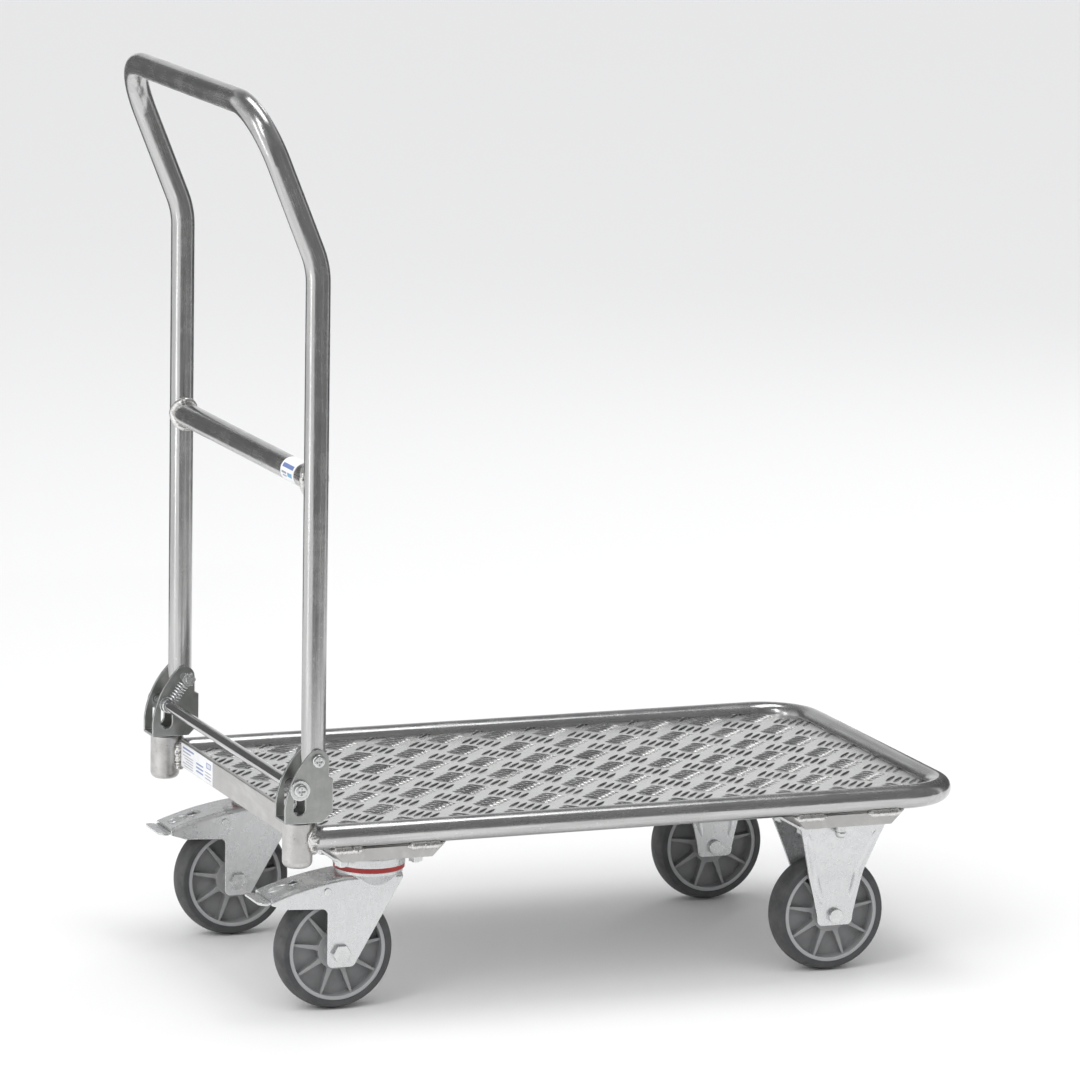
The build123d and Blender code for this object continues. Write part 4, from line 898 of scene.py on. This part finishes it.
# %% Weld finish
weld_finish, tree, shader = new_finish("weld_aluminium", 1.0)
place = here(tree)
skin = noise(tree, place, 650, 4.0, 0.6)
soot = noise(tree, place, 130, 3.0)
metal = tint(tree, spread(tree, skin, 0.3, 0.7, 0.0, 1.0), (0.62, 0.61, 0.59), (0.86, 0.855, 0.84))
metal = tint(tree, spread(tree, soot, 0.60, 0.75, 0.0, 0.45), metal, (0.34, 0.33, 0.31))
paint(tree, shader, metal, spread(tree, skin, 0.3, 0.7, 0.20, 0.42))
relief(tree, shader, skin, 0.25 * mm, 0.6)

# %% Swept bead
def swept(path, radii, around):
    """Points and faces of a round bar along a path, closed at both ends by a point."""
    points, faces = [], []
    before = None
    for k, centre in enumerate(path):
        way = (path[min(k + 1, len(path) - 1)] - path[max(k - 1, 0)]).normalized()
        if before is None:
            before = way.orthogonal().normalized()
        first = (before - way * before.dot(way)).normalized()
        second = way.cross(first)
        before = first
        for a in range(around):
            angle = 2 * pi * a / around
            points.append(centre + (first * cos(angle) + second * sin(angle)) * radii[k])
    for k in range(len(path) - 1):
        for a in range(around):
            b = (a + 1) % around
            faces.append((k * around + a, k * around + b, (k + 1) * around + b, (k + 1) * around + a))
    for end, row in ((0, 0), (-1, (len(path) - 1) * around)):
        tip = len(points)
        points.append(path[end])
        for a in range(around):
            b = (a + 1) % around
            faces.append((tip, row + b, row + a) if end == 0 else (tip, row + a, row + b))
    return points, faces


def bead(path, radius, puddle, seed, taper=True):
    """A weld bead along a path: one swell for each puddle, uneven, thin at its ends."""
    chance = Random(seed)
    walked, radii, moved = 0.0, [], []
    for k, point in enumerate(path):
        if k:
            walked += (point - path[k - 1]).length
        ripple = abs(sin(pi * walked / puddle)) ** 0.5
        share = k / (len(path) - 1)
        ends = min(1.0, 5 * share + 0.25, 5 * (1 - share) + 0.25) if taper else 1.0
        radii.append(radius * (0.84 + 0.16 * ripple + chance.uniform(-0.05, 0.05)) * ends)
        jitter = Vector([chance.uniform(-1, 1) for _ in range(3)]) * radius * 0.05
        moved.append(point + jitter)
    return swept(moved, radii, 10)

# %% [markdown]
# ## Where the welds lie
# Where a round tube meets a round post of another size, the joint is a saddle: a circle laid on
# the post's curved side. The crossbar has the same saddle on each handle leg.

# %% Crossbar welds
bar_low, bar_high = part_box("handle_crossbar")
bar_z = (bar_low.z + bar_high.z) / 2
bar_radius = (bar_high.z - bar_low.z) / 2
tuck, stand_off, lift = 0.6 * mm, 2.2 * mm, 2.0 * mm
crossbar_beads = []
for side, _ in SIDES:
    path = []
    for k in range(73):
        angle = 2 * pi * k / 72
        off_x = (bar_radius - tuck) * cos(angle)
        inward = sqrt(tube_radius**2 - off_x**2) + stand_off
        z = bar_z + (bar_radius + lift) * sin(angle)
        path.append(Vector((hinge_x + off_x, side * (side_y - inward), z)))
    crossbar_beads.append(bead(path, 3.9 * mm, 5.2 * mm, 11 + side, taper=False))
make_piece("crossbar_welds", *gather(crossbar_beads), weld_finish, "handle", "tube_aluminium")

# %% Post welds
saddle_out, saddle_ahead = 1.2 * mm, 1.6 * mm
seam_ahead, seam_inward, lump_out = 0.55, 0.80, 13.0 * mm  # the first two in post radii
# Each seam is a distance ahead, a low end, a high end and a bead radius. Each lump is the last three.
inner_seams = ((3.0, -14, 12, 4.4), (7.5, -12, 8, 3.8))
outer_lumps = ((-13, 9, 4.6), (-3, 4, 6.2))
post_beads = []
for side, hand in SIDES:
    post_low, post_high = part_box(f"corner_post_{hand}")
    post = (post_low + post_high) / 2
    post_radius = (post_high.x - post_low.x) / 2
    saddle = []
    for k in range(61):
        angle = 2 * pi * k / 60
        off_y = (tube_radius + saddle_out) * cos(angle)
        x = post.x + sqrt(post_radius**2 - off_y**2) + saddle_ahead
        z = frame_z + (tube_radius + saddle_out) * sin(angle)
        saddle.append(Vector((x, post.y + off_y, z)))
    post_beads.append(bead(saddle, 3.6 * mm, 5.0 * mm, 21 + side, taper=False))
    for depth, low_end, high_end, radius in inner_seams:
        seam = [
            Vector((
                post.x + post_radius * seam_ahead + depth * mm,
                post.y - side * post_radius * seam_inward,
                frame_z + (low_end + (high_end - low_end) * k / 30) * mm,
            ))
            for k in range(31)
        ]
        post_beads.append(bead(seam, radius * mm, 5.5 * mm, 31 + side + int(depth)))
    for start_z, end_z, radius in outer_lumps:
        outer = [
            Vector((
                post.x + lump_out,
                post.y + side * lump_out,
                frame_z + (start_z + (end_z - start_z) * k / 24) * mm,
            ))
            for k in range(25)
        ]
        post_beads.append(bead(outer, radius * mm, 8.0 * mm, 41 + side + start_z))
make_piece("post_welds", *gather(post_beads), weld_finish, "platform", "cast_aluminium")

# %% Rail welds
rail_low, rail_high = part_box("end_rail")
rail_lumps = ((-19, -9, 4.8), (-11, 2, 5.4), (0, 11, 4.6))  # low end, high end, bead radius
rail_beads = []
for side, _ in SIDES:
    end_y = side * (rail_high.y - 1.5 * mm)
    for lower, upper, radius in rail_lumps:
        lump = [
            Vector((
                rail_low.x - 1.0 * mm,
                end_y + side * 0.8 * mm,
                frame_z + (lower + (upper - lower) * k / 16) * mm,
            ))
            for k in range(17)
        ]
        rail_beads.append(bead(lump, radius * mm, 7.0 * mm, 51 + side + upper))
make_piece("rail_welds", *gather(rail_beads), weld_finish, "platform", "sheet_aluminium")

# %% Channel welds
channel_beads = []
for channel in ("rear_channel", "front_channel"):
    low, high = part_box(channel)
    for side, _ in SIDES:
        for start, end in ((low.x + 1 * mm, low.x + 38 * mm), (high.x - 42 * mm, high.x - 3 * mm)):
            edge_path = [
                Vector((start + (end - start) * k / 36, side * (high.y + 0.2 * mm), high.z - 2.2 * mm))
                for k in range(37)
            ]
            channel_beads.append(bead(edge_path, 4.6 * mm, 12.0 * mm, 61 + side + int(start * 1000)))
make_piece("channel_welds", *gather(channel_beads), weld_finish, "platform", "sheet_aluminium")

# %% [markdown]
# ## Springs
# Each spring is one wire: a loop round the hinge bolt, seven open turns, and a loop round the foot
# rod. The wire is swept along its own path.

# %% Spring finish
spring_finish, tree, shader = new_finish("spring_wire_steel", 1.0)
place = here(tree)
wire_skin = noise(tree, place, 900, 3.0)
paint(
    tree,
    shader,
    tint(tree, spread(tree, wire_skin, 0.35, 0.65, 0.0, 1.0), (0.80, 0.80, 0.81), (0.95, 0.955, 0.96)),
    spread(tree, wire_skin, 0.3, 0.7, 0.14, 0.26),
)
relief(tree, shader, wire_skin, 0.03 * mm, 0.5)

# %% Spring wire
hinge_low, hinge_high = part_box("hinge_bolts")
hinge_z = (hinge_low.z + hinge_high.z) / 2
rod_low, rod_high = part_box("foot_rod")
rod_middle = (rod_low + rod_high) / 2
wire, coil_radius, turns, coil_length = 0.80 * mm, 5.70 * mm, 7, 23 * mm
coil_steps, loop_steps = turns * 16, 30
top_loop, foot_loop = 5.1, 7.1  # radii in millimetres
for _, hand in SIDES:
    spring_low, spring_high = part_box(f"spring_{hand}")
    top = Vector((hinge_x, (spring_low.y + spring_high.y) / 2, hinge_z))
    foot = Vector((rod_middle.x, top.y, rod_middle.z))
    down = (foot - top).normalized()
    outward = Vector((0, 1, 0))
    beside = down.cross(outward)
    reach_down = (foot - top).length
    coil_from = (reach_down - coil_length) / 2
    path = []
    for k in range(loop_steps + 1):
        angle = radians(200 - 300 * (1 - k / loop_steps)) + pi
        path.append(top + (down * cos(angle) + beside * sin(angle)) * top_loop * mm)
    path[-1] = top + down * 4.6 * mm + beside * 2.2 * mm
    for k in range(coil_steps + 1):
        angle = 2 * pi * k / 16
        swing = min(1.0, 0.35 + k / 10, 0.35 + (coil_steps - k) / 10)
        centre = top + down * (coil_from + coil_length * k / coil_steps)
        path.append(centre + (beside * cos(angle) + outward * sin(angle)) * coil_radius * swing)
    for k in range(loop_steps + 1):
        angle = radians(20 + 300 * k / loop_steps)
        path.append(foot + (-down * cos(angle) + beside * sin(angle)) * foot_loop * mm)
    coil_mesh = swept(path, [wire] * len(path), 8)
    coil = make_piece(f"spring_coil_{hand}", *coil_mesh, spring_finish, None, "spring_steel")
    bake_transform(coil)
    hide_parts(f"spring_{hand}")
